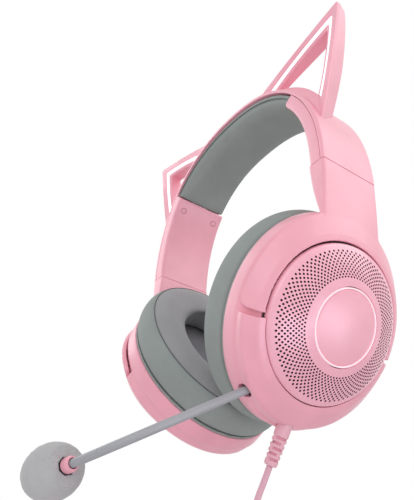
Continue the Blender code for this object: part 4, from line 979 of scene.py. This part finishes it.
def shell_mesh():
    """Bowl of a cup with its rim and its lip rounded."""
    rings = [oval(*shoulder(share)) for share in spread(1.0, RIM_SHARE, 16)]
    half_u, half_v, level = shoulder(RIM_SHARE)
    for s in RIM_STEPS:
        rise = (1 - s) ** 2
        rings.append(oval(blend(half_u, CUP_HALF_U, 1 - rise), blend(half_v, CUP_HALF_V, 1 - rise),
                          blend(level, SHOULDER_W - RIM_ROUND, s)))
    for inset, level in (*RIM_FOOT, (CUP_WALL, 0.0)):
        rings.append(oval(CUP_HALF_U - inset, CUP_HALF_V - inset, level))
    for share in spread(0.0, 0.9, 6):
        half_u, half_v, level = shoulder(share)
        rings.append(oval(half_u - CUP_WALL, half_v - CUP_WALL, level - CUP_WALL / 2))
    rings.append(oval(CAVITY_RADIUS, CAVITY_RADIUS, LIP_W - CUP_WALL))
    return skin(rings)


def fork_faces(turn, rim=FORK_RIM_SHARE, lift=SWING_GAP, lean=0.0, steps=10):
    """Under and outer face of the fork, at one angle round the cup, from its rim to the disc."""
    span = blend(CUP_HALF_U, CUP_HALF_V, abs(math.sin(turn))) - LIP_RADIUS
    slope = math.atan2(LIP_W - SHOULDER_W, span)
    under = []
    over = []
    for share in spread(rim, 1.0, steps)[:-1]:
        half_u, half_v, level = shoulder(share)
        here = turn + lean * (0.5 - share)
        point = Vector((half_u * math.cos(here), half_v * math.sin(here), level))
        side = Vector((math.cos(here) / half_u, math.sin(here) / half_v, 0.0)).normalized()
        out = side * math.sin(slope) + Vector((0.0, 0.0, math.cos(slope)))
        under.append(point + out * lift)
        over.append(point + out * (SWING_GAP + blend(FORK_WALL, FORK_INNER_WALL, share)))
    here = turn - lean / 2
    edge = Vector((math.cos(here), math.sin(here), 0.0)) * (DISC_RADIUS + FORK_GAP)
    under.append(edge + Vector((0.0, 0.0, LIP_W + lift)))
    over.append(edge + Vector((0.0, 0.0, LIP_W + SWING_GAP + FORK_INNER_WALL)))
    return under, over


def fork_stations():
    """Angles along the fork, each with its outer edge's place and its lean; the corners are cut back."""
    start = math.asin(FORK_END_V / (CUP_HALF_U + FORK_WALL))
    corner = []
    for reach, cut_back, lean in FORK_CORNER:
        corner.append((start + reach / CUP_HALF_U, FORK_RIM_SHARE + cut_back, FORK_LEAN * lean))
    low = corner[-1][0]
    turns = spread(low, math.pi - low, FORK_FINE_STEPS)[1:-1]
    middle = [(turn, FORK_RIM_SHARE, 0.0) for turn in turns]
    return corner + middle + [(math.pi - turn, rim, -lean) for turn, rim, lean in reversed(corner)]


def raised_section(turn, lean):
    """Outline of the shell's raised lower part at one angle, swelling from the rim to the fork's level."""
    sunk, full = fork_faces(turn, 0.0, -RAISED_SINK, lean, 20)
    over = []
    for number, (low, high) in enumerate(zip(sunk, full)):
        share = number / (len(full) - 1)
        over.append(low.lerp(high, (1 - math.cos(math.pi * min(1.0, share / RAISED_SWELL))) / 2))
    reach = (DISC_RADIUS + RAISED_EDGE) / (DISC_RADIUS + FORK_GAP)
    close = Matrix.Diagonal((reach, reach, 1.0))
    over.append(close @ full[-1])
    return over + [close @ sunk[-1]] + sunk[:0:-1]


def boom_heading():
    """Way the straight boom leaves the left cup, in the cup's frame."""
    return Vector((math.cos(BOOM_HEADING), math.sin(BOOM_HEADING), 0.0))


def relief_heading():
    """Way the strain relief leaves the left cup, in the cup's frame."""
    return Vector((-math.sin(RELIEF_LEAN), -math.cos(RELIEF_LEAN), 0.0))


def make_shell(side, home):
    """Cup shell, on the left with its port, wheel slot and lead hole."""
    shell = piece(f"cup_bowl_{side}", moved(shell_mesh(), home), "pink", f"cup_{side}",
                  [f"cup_shell_{side}"], SHELL_SHARP)
    first = fork_stations()[0][0] - FORK_SLOT / CUP_HALF_U
    turns = spread(first, -math.pi - first, RAISED_TURNS)
    leans = [FORK_LEAN, FORK_LEAN / 2] + [0.0] * (len(turns) - 4) + [-FORK_LEAN / 2, -FORK_LEAN]
    raised = skin([raised_section(turn, lean) for turn, lean in zip(turns, leans)])
    cut(shell, moved(raised, home), "UNION")
    for sign in (-1, 1):
        place = home @ along((sign * CAVITY_RADIUS, PIVOT_V, PIVOT_W), (sign, 0, 0))
        radius = PIN_RADIUS + GAP
        cut(shell, moved(turned([(radius, 0.0), (radius, PIN_OUTER_U)], 24), place))
    if side == "left":
        place = home @ along((PORT_U, PORT_V, PORT_W), boom_heading())
        radius = PORT_RADIUS + GAP / 3
        cut(shell, moved(turned([(radius, -BOOM_INSIDE), (radius, BOOM_INSIDE)], SMALL_STEPS), place))
        seat = home @ Matrix.Translation((WHEEL_U, WHEEL_V, 0.0))
        radius = WHEEL_RADIUS + GAP + GAP / 3
        slot = [(radius, WHEEL_BOTTOM_W - GAP), (radius, WHEEL_TOP_W + GAP)]
        cut(shell, moved(turned(slot), seat))
        place = home @ along((RELIEF_U, RELIEF_V, RELIEF_W), relief_heading())
        radius = RELIEF_RADIUS + GAP / 2
        cut(shell, moved(turned([(radius, -GAP), (radius, RELIEF_PLAIN)], SMALL_STEPS), place))
    shell.data.shade_smooth()
    shell.data.set_sharp_from_angle(angle=math.radians(SHELL_SHARP))


def grille_mesh():
    """Domed grille: a staggered field of round holes between two plain bands."""
    mesh = bmesh.new()
    pitch = (HOLE_OUTER - HOLE_INNER) / (HOLE_RINGS - 1)
    slice_turn = math.tau / HOLES_ROUND
    found = {}

    def spot(radius, turn, drop=0.0):
        place = round(turn / slice_turn * 2e3) % round(HOLES_ROUND * 2e3)
        key = (round(radius * 1e7), place, round(drop * 1e7))
        if key not in found:
            level = dome_level(radius) - drop
            found[key] = mesh.verts.new(polar(radius, turn, level))
        return found[key]

    around = ((-1, -1), (0, -1), (1, -1), (1, 0), (1, 1), (0, 1), (-1, 1), (-1, 0))
    for ring in range(HOLE_RINGS):
        radius = HOLE_INNER + ring * pitch
        hole = blend(HOLE_SMALL, HOLE_LARGE, ring / (HOLE_RINGS - 1))
        for number in range(HOLES_ROUND):
            turn = (number + 0.5 * (ring % 2)) * slice_turn
            frame_points = [spot(radius + b * pitch / 2, turn + a * slice_turn / 2) for a, b in around]
            rims = []
            for drop in (0.0, HOLE_DEPTH):
                rim = []
                for a, b in around:
                    angle = math.atan2(b, a)
                    far = radius + hole * math.sin(angle)
                    rim.append(spot(far, turn + hole * math.cos(angle) / radius, drop))
                rims.append(rim)
            for this in range(len(around)):
                after = (this + 1) % len(around)
                mesh.faces.new((frame_points[this], frame_points[after], rims[0][after], rims[0][this]))
                # Hole walls take the second material, painted shade, so the holes read deep
                wall = mesh.faces.new((rims[0][this], rims[0][after], rims[1][after], rims[1][this]))
                wall.material_index = 1
    step = slice_turn / 2
    turns = [number * step for number in range(HOLES_ROUND * 2)]
    inner = [HOLE_INNER - pitch / 2, *GRILLE_INNER_BAND]
    outer = [HOLE_OUTER + pitch / 2, *GRILLE_OUTER_BAND]
    for radii in (inner, outer):
        for low, high in zip(radii, radii[1:]):
            for turn in turns:
                on = turn + step
                mesh.faces.new((spot(low, turn), spot(low, on), spot(high, on), spot(high, turn)))
    rim = dome_level(DISC_RADIUS - GRILLE_EDGE)
    edge = [(DISC_RADIUS - inset, rim - drop) for inset, drop in GRILLE_ROUND]
    rows = [[spot(DISC_RADIUS - GRILLE_EDGE, turn) for turn in turns]]
    for radius, level in [*edge, (DISC_RADIUS, LIP_W + GAP)]:
        rows.append([mesh.verts.new(polar(radius, turn, level)) for turn in turns])
    well = [spot(GRILLE_HOLE_RADIUS, turn) for turn in turns]
    low = [mesh.verts.new((v.co.x, v.co.y, v.co.z - WELL_DEPTH)) for v in well]
    for first, second in [*zip(rows, rows[1:]), (well, low)]:
        for this in range(len(turns)):
            after = (this + 1) % len(turns)
            mesh.faces.new((first[this], first[after], second[after], second[this]))
    return mesh


def make_grille(side, home):
    """Grille over its deep maroon liner of painted shade, with a ring of painted shade round its edge, the
    light ring and plain centre cap.
    """
    body = f"cup_{side}"
    grille = moved(grille_mesh(), home)
    piece(f"grille_dome_{side}", grille, ["disc_pink", "dark"], body, [f"grille_{side}"], 50)
    # Deep maroon sheet under the holes: painted shade that shows through them
    radii = spread(DISC_RADIUS - LINER_INSET, GRILLE_HOLE_RADIUS + LINER_MARGIN, 12)
    top = [(radius, dome_level(radius) - LINER_TOP) for radius in radii]
    low = [(radius, dome_level(radius) - LINER_BOTTOM) for radius in reversed(radii)]
    piece(f"grille_shade_liner_{side}", moved(turned_ring(top + low), home), "dark", body)
    # Thin deep maroon ring in the gap between disc and fork: painted shade in the gap
    foot = LIP_W + GAP
    gap_shade = [(DISC_RADIUS + CAP_GAP, foot), (DISC_RADIUS + CAP_GAP, foot + SHADE_RISE)]
    gap_shade += [(DISC_RADIUS + FORK_GAP - CAP_GAP, foot + SHADE_RISE), (DISC_RADIUS + FORK_GAP - CAP_GAP, foot)]
    piece(f"grille_gap_shade_{side}", moved(turned_ring(gap_shade), home), "dark", body)
    outer = RING_OUTER_RADIUS
    inner = outer - RING_SHOWN
    crown = []
    for s in spread(0.0, 1.0, 6):
        radius = blend(outer, inner, s)
        crown.append((radius, dome_level(radius) - GAP + RING_CROWN * math.sin(math.pi * s)))
    ring = turned_ring([(outer, foot), *crown, (inner, foot)])
    piece(f"light_ring_shaped_{side}", moved(ring, home), "ring_glow", body, [f"light_ring_{side}"])
    edge = inner - CAP_GAP
    sunk = dome_level(edge) - EMBLEM_SINK
    top = [(edge, foot + CENTRE_FOOT)]
    top += [(edge - inset, sunk - drop) for inset, drop in CENTRE_ROUND]
    top += [(r, dome_level(r) - EMBLEM_SINK) for r in spread(edge - CENTRE_EDGE, CENTRE_HUB, 24)]
    piece(f"centre_cap_{side}", moved(turned(top), home), "cap_glow", body, [f"emblem_cap_{side}"], 50)


def cushion_section():
    """Closed section of a cushion as (half u, half v, level, sewn down, kind) rows."""
    top = BAFFLE_BOTTOM - GAP
    seam_u, seam_v = CUP_HALF_U - CUSHION_SEAM_INSET, CUP_HALF_V - CUSHION_SEAM_INSET
    rows = []
    for share in spread(0.0, 1.0, 12):
        bulge = math.sin(math.pi * share) ** CUSHION_SIDE_POWER if share < 1 else 0.0
        inset = blend(CUSHION_SEAM_INSET * blend(0.5, 1.0, share), CUSHION_SWELL - CUSHION_OVERHANG, bulge)
        level = blend(top, CUSHION_SEAM_W, share)
        sewn = 1.0 if share in (0.0, 1.0) else 0.0
        rows.append((CUP_HALF_U - inset, CUP_HALF_V - inset, level, sewn, 0))
    width = seam_u - CUSHION_HOLE_U
    for share in spread(0.0, 1.0, 16)[1:]:
        arc = math.pi * share ** CUSHION_FACE_LEAN
        lift = math.sin(arc) ** CUSHION_FACE_POWER if share < 1 else 0.0
        foot = blend(CUSHION_SEAM_W, CUSHION_SEAM_W + CUSHION_HOLE_RISE, share)
        level = blend(foot, CUSHION_FACE_W + CUSHION_FACE_SINK, lift)
        rows.append((seam_u - width * share, seam_v - width * share, level, 0.0, 1))
    for share in spread(0.0, 1.0, 8)[1:]:
        flare = CUSHION_FLARE * share ** CUSHION_FLARE_POWER
        level = blend(CUSHION_SEAM_W + CUSHION_HOLE_RISE, top, share)
        sewn = 1.0 if share == 1 else CUSHION_HOLE_FIRM
        rows.append((CUSHION_HOLE_U + flare, CUSHION_HOLE_V + flare, level, sewn, 1))
    return rows


def make_cushion(side, home):
    """Cushion of leatherette and cloth, sewn round its face and swelled between its seams."""
    section = cushion_section()
    steps = CUSHION_STEPS
    mesh = bmesh.new()
    loops = [[mesh.verts.new(home @ p) for p in oval(*row[:3], steps)] for row in section]
    for index, low in enumerate(loops):
        high = loops[(index + 1) % len(loops)]
        kind = section[(index + 1) % len(loops)][4]
        for this in range(steps):
            after = (this + 1) % steps
            face = mesh.faces.new((low[this], low[after], high[after], high[this]))
            face.material_index = kind
    firm = []
    for row in section:
        firm += [row[3]] * steps
    body = f"cup_{side}"
    cushion = piece(f"ear_cushion_{side}", mesh, ["leatherette", "fabric"], body, [f"cushion_{side}"], 180)
    puffed(cushion, firm, CUSHION_PRESSURE, CUSHION_SWELL)
    finer(cushion)
    seam_u, seam_v = CUP_HALF_U - CUSHION_SEAM_INSET, CUP_HALF_V - CUSHION_SEAM_INSET
    line = [home @ p for p in oval(seam_u + SEAM_SINK, seam_v + SEAM_SINK, CUSHION_SEAM_W, SEAM_STEPS)]
    piece(f"cushion_seam_{side}", swept(line, CUSHION_THREAD, 8, True), "thread", body)
    top = BAFFLE_BOTTOM - GAP
    base_u = CUSHION_HOLE_U + CUSHION_FLARE - CLOTH_INSET
    base_v = CUSHION_HOLE_V + CUSHION_FLARE - CLOTH_INSET
    rings = []
    for share in spread(1.0, VEIL_HUB, 14):
        sag = VEIL_SAG * (1 - share ** 2)
        rings.append(oval(base_u * share, base_v * share, top - VEIL_SINK - sag, VEIL_STEPS))
    cloth = skin(rings, capped=False)
    centre = cloth.verts.new((0.0, 0.0, top - VEIL_SINK - VEIL_SAG))
    last = list(cloth.verts)[-VEIL_STEPS - 1:-1]
    for this in range(VEIL_STEPS):
        cloth.faces.new((last[this], last[(this + 1) % VEIL_STEPS], centre))
    sheet = piece(f"driver_veil_{side}", moved(cloth, home), "mesh", body, [f"driver_cloth_{side}"], 180)


def arm_column(start, end, heading, pull):
    """Smooth line from the arch's end down to the fork."""
    top = Vector((0.0, 0.0, -pull))
    foot = heading.normalized() * ARM_FOOT_PULL
    line = []
    for s in spread(0.0, 1.0, ARM_STEPS):
        rise = s * s * (3 - 2 * s)
        line.append(start.lerp(end, rise) + top * s * (1 - s) ** 2 + foot * s * s * (s - 1))
    return line


def arm_mesh(seam):
    """Arm that thins and widens from the arch's end to its foot inside the fork."""
    cup = cup_frame()
    turn = cup.to_3x3()
    half = BAND_DEPTH / 2
    outer = []
    inner = []
    edges = [(-half, BAND_EDGE), (-half + BAND_EDGE * 0.3, BAND_EDGE * 0.3)]
    columns = [(y, 0.0) for y in spread(-half + BAND_EDGE, half - BAND_EDGE, ARM_COLUMNS)]
    for y, drop in edges + columns + [(-y, drop) for y, drop in reversed(edges)]:
        under, over = fork_faces(math.pi / 2 - ARM_FOOT_TURN * y / half, steps=4)
        start = seam + Vector((-drop, y, 0.0))
        end = over[2].lerp(under[2], ARM_FOOT_INSET)
        outer.append(arm_column(start, cup @ end, turn @ (over[2] - over[1]), ARM_TOP_PULL))
        start = seam + Vector((-ARM_TOP_THICKNESS, y, 0.0))
        end = under[1].lerp(over[1], ARM_INNER_INSET)
        inner.append(arm_column(start, cup @ end, turn @ (under[1] - under[0]), ARM_INNER_PULL))
    return skin([front + back[::-1] for front, back in zip(outer, inner)])


def make_yoke(side, half_turn):
    """Arm and fork in one smooth moulding."""
    seam = Vector((ARCH_HALF_SPAN, 0.0, ARCH_Z - ARM_SEAM))
    sections = []
    for turn, rim, lean in fork_stations():
        under, over = fork_faces(turn, rim, lean=lean)
        sections.append(under + over[::-1])
    fork = moved(skin(sections), cup_frame())
    arm = moved(arm_mesh(seam), half_turn)
    yoke = piece(f"yoke_arm_{side}", arm, "pink", f"slider_{side}", [f"yoke_{side}"], 180)
    cut(yoke, moved(fork, half_turn), "UNION")
    step = yoke.modifiers.new("remesh", "REMESH")
    step.mode = "VOXEL"
    step.voxel_size = YOKE_VOXEL
    settled(yoke)
    group = yoke.vertex_groups.new(name="soft")
    for vert in yoke.data.vertices:
        below = seam.z - vert.co.z
        group.add([vert.index], min(1.0, max(0.0, below / YOKE_FIRM - YOKE_HELD)), "REPLACE")
    step = yoke.modifiers.new("smooth", "SMOOTH")
    step.factor = 0.5
    step.iterations = YOKE_SMOOTH
    step.vertex_group = "soft"
    settled(yoke)
    yoke.data.shade_smooth()


# Microphone
def boom_line(steps=40):
    """Points along the boom, in the cup's frame, and its last direction."""
    heading = boom_heading()
    port = Vector((PORT_U, PORT_V, PORT_W))
    across = Vector((0.0, 0.0, 1.0)).cross(heading)
    inward = across * math.sin(BOOM_BEND_ROLL) - Vector((0.0, 0.0, math.cos(BOOM_BEND_ROLL)))
    bend = port + heading * BOOM_STRAIGHT
    line = [port + heading * s for s in spread(-BOOM_INSIDE, BOOM_STRAIGHT, 24)]
    for angle in spread(0.0, BOOM_BEND, steps)[1:]:
        reach = heading * math.sin(angle) + inward * (1 - math.cos(angle))
        line.append(bend + reach * BOOM_BEND_RADIUS)
    return line, heading * math.cos(BOOM_BEND) + inward * math.sin(BOOM_BEND)


def make_microphone(home):
    """Port, boom, collar and foam ball."""
    place = along((PORT_U, PORT_V, PORT_W), boom_heading())
    floor = PORT_OUTSIDE - PORT_SHADE
    bush = rounded([((PORT_RADIUS, -PORT_INSIDE), 0.0), ((PORT_RADIUS, floor), BUSH_EDGES[0]),
                    ((PORT_BORE, floor), BUSH_EDGES[1]), ((PORT_BORE, -PORT_INSIDE), 0.0)])
    piece("mic_bush", moved(turned_ring(bush, BUSH_STEPS), home @ place), "pink", "cup_left", ["mic_port"])
    # Deep maroon ring at the port's floor round the boom: painted shade in the hole
    throat_shade = [(PORT_RADIUS, floor + CAP_GAP), (BOOM_RADIUS + CAP_GAP, floor + CAP_GAP)]
    throat_shade += [(BOOM_RADIUS + CAP_GAP, floor + SHADE_RISE), (PORT_RADIUS, floor + SHADE_RISE)]
    piece("mic_throat_shade", moved(turned_ring(throat_shade, BUSH_STEPS), home @ place), "dark", "cup_left")
    line, last = boom_line()
    boom = swept([home @ p for p in line], BOOM_RADIUS, 24)
    piece("mic_stem", boom, "boom", "microphone", ["mic_boom"])
    tip = home @ along(line[-1] - last * COLLAR_SOCKET, last)
    socket = BOOM_RADIUS + GAP
    mouth, neck, shoulder_edge, end_edge = COLLAR_EDGES
    collar = rounded([((socket, COLLAR_SOCKET + GAP), 0.0), ((socket, 0.0), mouth),
                      ((COLLAR_NECK_RADIUS, 0.0), neck),
                      ((COLLAR_RADIUS, COLLAR_LENGTH * COLLAR_SHOULDER), shoulder_edge),
                      ((COLLAR_RADIUS, COLLAR_LENGTH), end_edge), ((COLLAR_HUB, COLLAR_LENGTH), 0.0)])
    piece("mic_ring", moved(turned(collar, BUSH_STEPS), tip), "pink", "microphone", ["mic_collar"])
    bore = CAPSULE_RADIUS + GAP
    low = COLLAR_LENGTH + GAP
    rings = [(bore, low + CAPSULE_LENGTH + GAP), (bore, low + FOAM_LIP), (COLLAR_RADIUS + CAP_GAP, low)]
    for share in spread(0.0, 1.0, 60):
        swell = math.sin(math.pi * blend(FOAM_START, FOAM_END, share)) ** FOAM_POWER
        rings.append((FOAM_RADIUS * swell, low + FOAM_LENGTH * share))
    foam = turned(rings, 84)
    for vert in foam.verts:
        side = Vector((vert.co.x, vert.co.y, 0.0))
        if side.length > bore * 1.02:
            bump = sum(noise.noise(vert.co * scale) * height for scale, height in FOAM_CELLS)
            vert.co += side.normalized() * bump
    ball = piece("mic_foam_ball", moved(foam, tip), "foam", "microphone", ["mic_foam"], 60)


# Lead
def lead_route():
    """Where the lead leaves the relief, and where it runs into the coil."""
    cup = cup_frame()
    end = Vector((RELIEF_U, RELIEF_V, RELIEF_W)) + relief_heading() * (RELIEF_LENGTH + GAP)
    start = cup @ end
    heading = cup.to_3x3() @ relief_heading()
    down = Vector((0.0, 0.0, -1.0))
    run = start + heading * CORD_STRAIGHT
    turned_down = run + (heading + down) * CORD_RADIUS * 3
    coil_start = Vector((turned_down.x, turned_down.y, start.z - CORD_DROP))
    lead_in = coil_start - down * CORD_RADIUS * 2
    middle = turned_down.lerp(lead_in, 0.5)
    return [start, start.lerp(run, 0.5), run, turned_down, middle, lead_in, coil_start]


def smooth_route(knots, spacing):
    """Points a steady distance apart on a smooth curve through the knots."""
    padded = [2 * knots[0] - knots[1], *knots, 2 * knots[-1] - knots[-2]]
    fine = [knots[0]]
    for before, first, last, after in zip(padded, padded[1:], padded[2:], padded[3:]):
        steps = max(2, round((last - first).length / spacing))
        for step in range(1, steps + 1):
            share = step / steps
            bend = (last - before) * share + (2 * before - 5 * first + 4 * last - after) * share ** 2
            bend += (3 * first - before - 3 * last + after) * share ** 3
            fine.append(first + bend / 2)
    return fine


def coil_line(start):
    """Points of the coil: flat spirals in and out, one layer on the next, ending straight."""
    per_layer = COIL_TURNS / COIL_LAYERS
    step = 1 / COIL_POINTS
    runs = COIL_TURNS * COIL_POINTS
    radius = COIL_MEAN_RADIUS + per_layer * COIL_PITCH / 2
    centre = start - Vector((radius, 0.0, 0.0))
    layer = 0.0
    points = [start]
    for index in range(1, runs + 1):
        turns = index * step
        past = (turns + COIL_CLIMB / 2) % per_layer
        number = int((turns + COIL_CLIMB / 2) // per_layer)
        if past <= COIL_CLIMB and 0 < number < COIL_LAYERS:
            layer = number - 1 + past / COIL_CLIMB
        else:
            layer = round(layer)
            radius += COIL_PITCH * step * (-1 if round(layer) % 2 == 0 else 1)
        angle = math.tau * turns
        flat = Vector((math.cos(angle), 0.0, -math.sin(angle))) * radius
        points.append(centre + flat + Vector((0.0, layer * COIL_PITCH, 0.0)))
    down = Vector((0.0, 0.0, -1.0)) * CORD_RADIUS * 2
    return [start - down, *points, points[-1] + down], centre


def make_lead():
    """Lead from the relief through its tied coil to the plug, as one cord."""
    route = lead_route()
    lead = smooth_route(route, CORD_POINT_STEP)
    down = Vector((0.0, 0.0, -1.0))
    coil, centre = coil_line(route[-1] + down * (GAP + CORD_RADIUS * 2))
    tail_start = coil[-1] + down * GAP
    tail = [tail_start + down * TAIL_LENGTH * share for share in spread(0.0, 1.0, 8)]
    line = lead + coil[1:] + tail[1:]
    curve = bpy.data.curves.new("lead", "CURVE")
    curve.dimensions = "3D"
    curve.bevel_depth = CORD_RADIUS
    curve.bevel_resolution = 3
    curve.use_fill_caps = True
    run = curve.splines.new("POLY")
    run.points.add(len(line) - 1)
    for spot, point in zip(run.points, line):
        spot.co = (*point, 1.0)
    run.use_smooth = True
    curve.materials.append(looks["cord"])
    nodes = ["cable", "cable_coil", "cable_tail"]
    cord = settle_in(bpy.data.objects.new("lead", curve), "cup_left", nodes)
    pieces = make_tie(coil, centre) + make_plug(tail[-1] + down * GAP)


def make_tie(coil, centre):
    """Hook-and-loop strap round the top of the coil."""
    near = [p for p in coil if abs(p.x - centre.x) < TIE_WIDTH and p.z > centre.z]
    slack = CORD_RADIUS + TIE_SLACK
    low = Vector((min(p.y for p in near) - slack, min(p.z for p in near) - slack))
    high = Vector((max(p.y for p in near) + slack, max(p.z for p in near) + slack))
    rings = []
    edge = TIE_WIDTH / 2
    for grow, x in TIE_SECTION:
        out = TIE_WALL * grow
        corners = [(low.x - out, low.y - out), (high.x + out, low.y - out),
                   (high.x + out, high.y + out), (low.x - out, high.y + out)]
        outline = rounded([(corner, TIE_EDGE + out) for corner in corners], 6)
        rings.append([Vector((centre.x + x * edge, y, z)) for y, z in outline])
    strap = piece("lead_strap", skin(rings, looped=True), "strap", "cup_left", ["cable_tie"])
    return [strap]


def make_plug(top):
    """Moulded cover with grip ribs, folded steel shell and contact tongue."""
    def bar(width, height, edge, level):
        x, y = width / 2, height / 2
        corners = [(-x, -y), (x, -y), (x, y), (-x, y)]
        outline = rounded([(corner, edge) for corner in corners], 5)
        return [Vector((top.x + p.x, top.y + p.y, top.z - level)) for p in outline]

    wide, high, long = PLUG_COVER_WIDTH, PLUG_COVER_HEIGHT, PLUG_COVER_LENGTH
    rings = [bar(wide * across, high * up, edge, level) for across, up, edge, level in PLUG_TOP]
    for level in spread(PLUG_ROUND, long - PLUG_ROUND, 40):
        share = level / long
        ribbed = PLUG_RIB_FROM < share < PLUG_RIB_TO
        rib = PLUG_RIB * max(0.0, math.sin(share * math.tau * PLUG_RIBS)) if ribbed else 0.0
        opened = min(1.0, share / PLUG_NECK_RUN) ** PLUG_NECK_POWER
        neck = min(1.0, PLUG_NECK + (1 - PLUG_NECK) * opened)
        rings.append(bar(wide * neck - 2 * rib, high * neck - 2 * rib, PLUG_EDGE, level))
    rings += [bar(wide - inset, high - inset, edge, long - left) for inset, edge, left in PLUG_END]
    cover = piece("plug_cover", skin(rings), "rubber", "cup_left", ["usb_plug_cover"])
    seat = PLUG_COVER_LENGTH + GAP
    loops = []
    for wall, share in PLUG_LIP:
        inset = 2 * wall * PLUG_SHELL_WALL
        level = seat + PLUG_SHELL_LENGTH * share
        loops.append(bar(PLUG_SHELL_WIDTH - inset, PLUG_SHELL_HEIGHT - inset, PLUG_SHELL_EDGE, level))
    shell = piece("plug_shell", skin(loops, looped=True), "steel", "cup_left", ["usb_plug_shell"])
    for x in (-1, 1):
        hole = bmesh.new()
        bmesh.ops.create_cube(hole, size=1.0)
        size = Matrix.Diagonal((PLUG_WINDOW, PLUG_SHELL_HEIGHT * 2, PLUG_WINDOW, 1.0))
        level = seat + PLUG_SHELL_LENGTH * PLUG_WINDOW_SHARE
        spot = Vector((top.x + x * PLUG_WINDOW_X, top.y, top.z - level))
        cut(shell, moved(hole, Matrix.Translation(spot) @ size))
    return [cover, shell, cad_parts["usb_plug_tongue"]]


def make_relief(home):
    """Strain relief with staggered slots and a smooth collar."""
    place = home @ along((RELIEF_U, RELIEF_V, RELIEF_W), relief_heading())
    step = (RELIEF_LENGTH - RELIEF_PLAIN) / (2 * RELIEF_GROOVES + 1)
    rings = []
    for level in spread(0.0, RELIEF_LENGTH, RELIEF_RINGS):
        share = max(0.0, (level - RELIEF_PLAIN) / (RELIEF_LENGTH - RELIEF_PLAIN))
        radius = RELIEF_RADIUS * blend(1.0, RELIEF_TAPER, share)
        end = min(1.0, (RELIEF_LENGTH - level) / RELIEF_ROUND)
        radius *= blend(RELIEF_END, 1.0, math.sqrt(max(0.0, 1 - (1 - end) ** 2)))
        along_grooves = (level - RELIEF_PLAIN) / (2 * step)
        groove = int(along_grooves) if along_grooves >= 0 else -1
        past = (along_grooves - groove) * 2
        grooved = 0 <= groove < RELIEF_GROOVES and past < 1
        wall = min(1.0, max(0.0, 4.0 * min(past, 1.0 - past))) if grooved else 0.0
        ring = []
        for number in range(RELIEF_SIDES):
            turn = math.tau * number / RELIEF_SIDES
            lean = abs(math.sin(turn + groove * math.pi / 2))
            open_share = min(1.0, max(0.0, (lean - RELIEF_SLOT_FROM) * RELIEF_SLOT_EDGE))
            ring.append(polar(radius - RELIEF_SLOT * wall * open_share, turn, level))
        rings.append(ring)
    piece("relief_boot", moved(skin(rings), place), "rubber", "cup_left", ["strain_relief"], 50)


def make_wheel(home):
    """Volume wheel with a milled edge."""
    seat = home @ Matrix.Translation((WHEEL_U, WHEEL_V, 0.0))
    rings = []
    low, high = WHEEL_BOTTOM_W, WHEEL_TOP_W
    edge = WHEEL_RADIUS - WHEEL_EDGE
    profile = [(WHEEL_HUB, 0.0), (WHEEL_HUB, low), (edge, low), (WHEEL_RADIUS, low + WHEEL_EDGE),
               (WHEEL_RADIUS, high - WHEEL_EDGE), (edge, high), (WHEEL_HUB, high)]
    for radius, level in profile:
        milled = radius > WHEEL_RADIUS * WHEEL_MILLED
        ring = []
        for number in range(WHEEL_STEPS):
            turn = math.tau * number / WHEEL_STEPS
            tooth = WHEEL_TOOTH * max(0.0, math.cos(turn * WHEEL_TEETH)) if milled else 0.0
            ring.append(polar(radius - tooth, turn, level))
        rings.append(ring)
    piece("volume_dial", moved(skin(rings), seat), "rubber", "volume_wheel", ["volume_wheel"], 30)


# Light and floor
def make_light():
    """Soft white studio: pale surroundings, lamps, two of them for glints only, and a floor."""
    world = bpy.data.worlds.new("studio")
    scene.world = world
    world.use_nodes = True
    tree = world.node_tree
    tree.nodes.clear()
    path = add_node(tree, "LightPath").outputs
    seen = add_math(tree, "MAXIMUM", path["Is Camera Ray"], path["Is Glossy Ray"])
    seen = add_math(tree, "MAXIMUM", seen, path["Is Transmission Ray"])
    soft = add_node(tree, "Background", Color=WORLD_COLOUR, Strength=WORLD_STRENGTH)
    white = add_node(tree, "Background", Color=WHITE, Strength=1.0)
    mix = add_node(tree, "MixShader")
    for number, socket in enumerate((seen, soft.outputs[0], white.outputs[0])):
        tree.links.new(socket, mix.inputs[number])
    tree.links.new(mix.outputs[0], add_node(tree, "OutputWorld").inputs["Surface"])
    for name, way, far, power, size, colour in LAMPS:
        data = bpy.data.lights.new(name, "AREA")
        data.energy = power
        data.size = size
        data.color = colour
        lamp = bpy.data.objects.new(name, data)
        way = Vector(way).normalized()
        lamp.matrix_world = along(LAMPS_MIDDLE + way * far, way)
        lamp.visible_diffuse = name not in GLINTS
        scene.collection.objects.link(lamp)
    mesh = bmesh.new()
    level = cad_box[0][2] - FLOOR_BELOW
    bmesh.ops.create_grid(mesh, x_segments=8, y_segments=8, size=FLOOR_SIZE)
    mesh.transform(Matrix.Translation((0.0, 0.0, level)))
    data = bpy.data.meshes.new("floor")
    mesh.to_mesh(data)
    mesh.free()
    data.materials.append(look("floor", tone(236, 236, 238), 0.7, scale=60.0, bump=0.02, vary=0.01))
    floor = bpy.data.objects.new("floor", data)
    scene.collection.objects.link(floor)


def dress_hidden():
    """Give the solids that stay as they are their materials."""
    for name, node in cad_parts.items():
        for start, kind in HIDDEN_LOOKS:
            if name.startswith(start):
                node.data.materials.clear()
                node.data.materials.append(looks[kind])


make_camera()
make_lead()
make_band()
make_pad()
for side, mirrored in (("left", False), ("right", True)):
    half_turn = Matrix.Rotation(math.pi if mirrored else 0.0, 4, "Z")
    home = half_turn @ cup_frame()
    make_end_cap(side, mirrored)
    make_ear(side, mirrored)
    make_yoke(side, half_turn)
    make_shell(side, home)
    make_grille(side, home)
    make_cushion(side, home)
make_microphone(cup_frame())
make_relief(cup_frame())
make_wheel(cup_frame())
dress_hidden()
make_light()
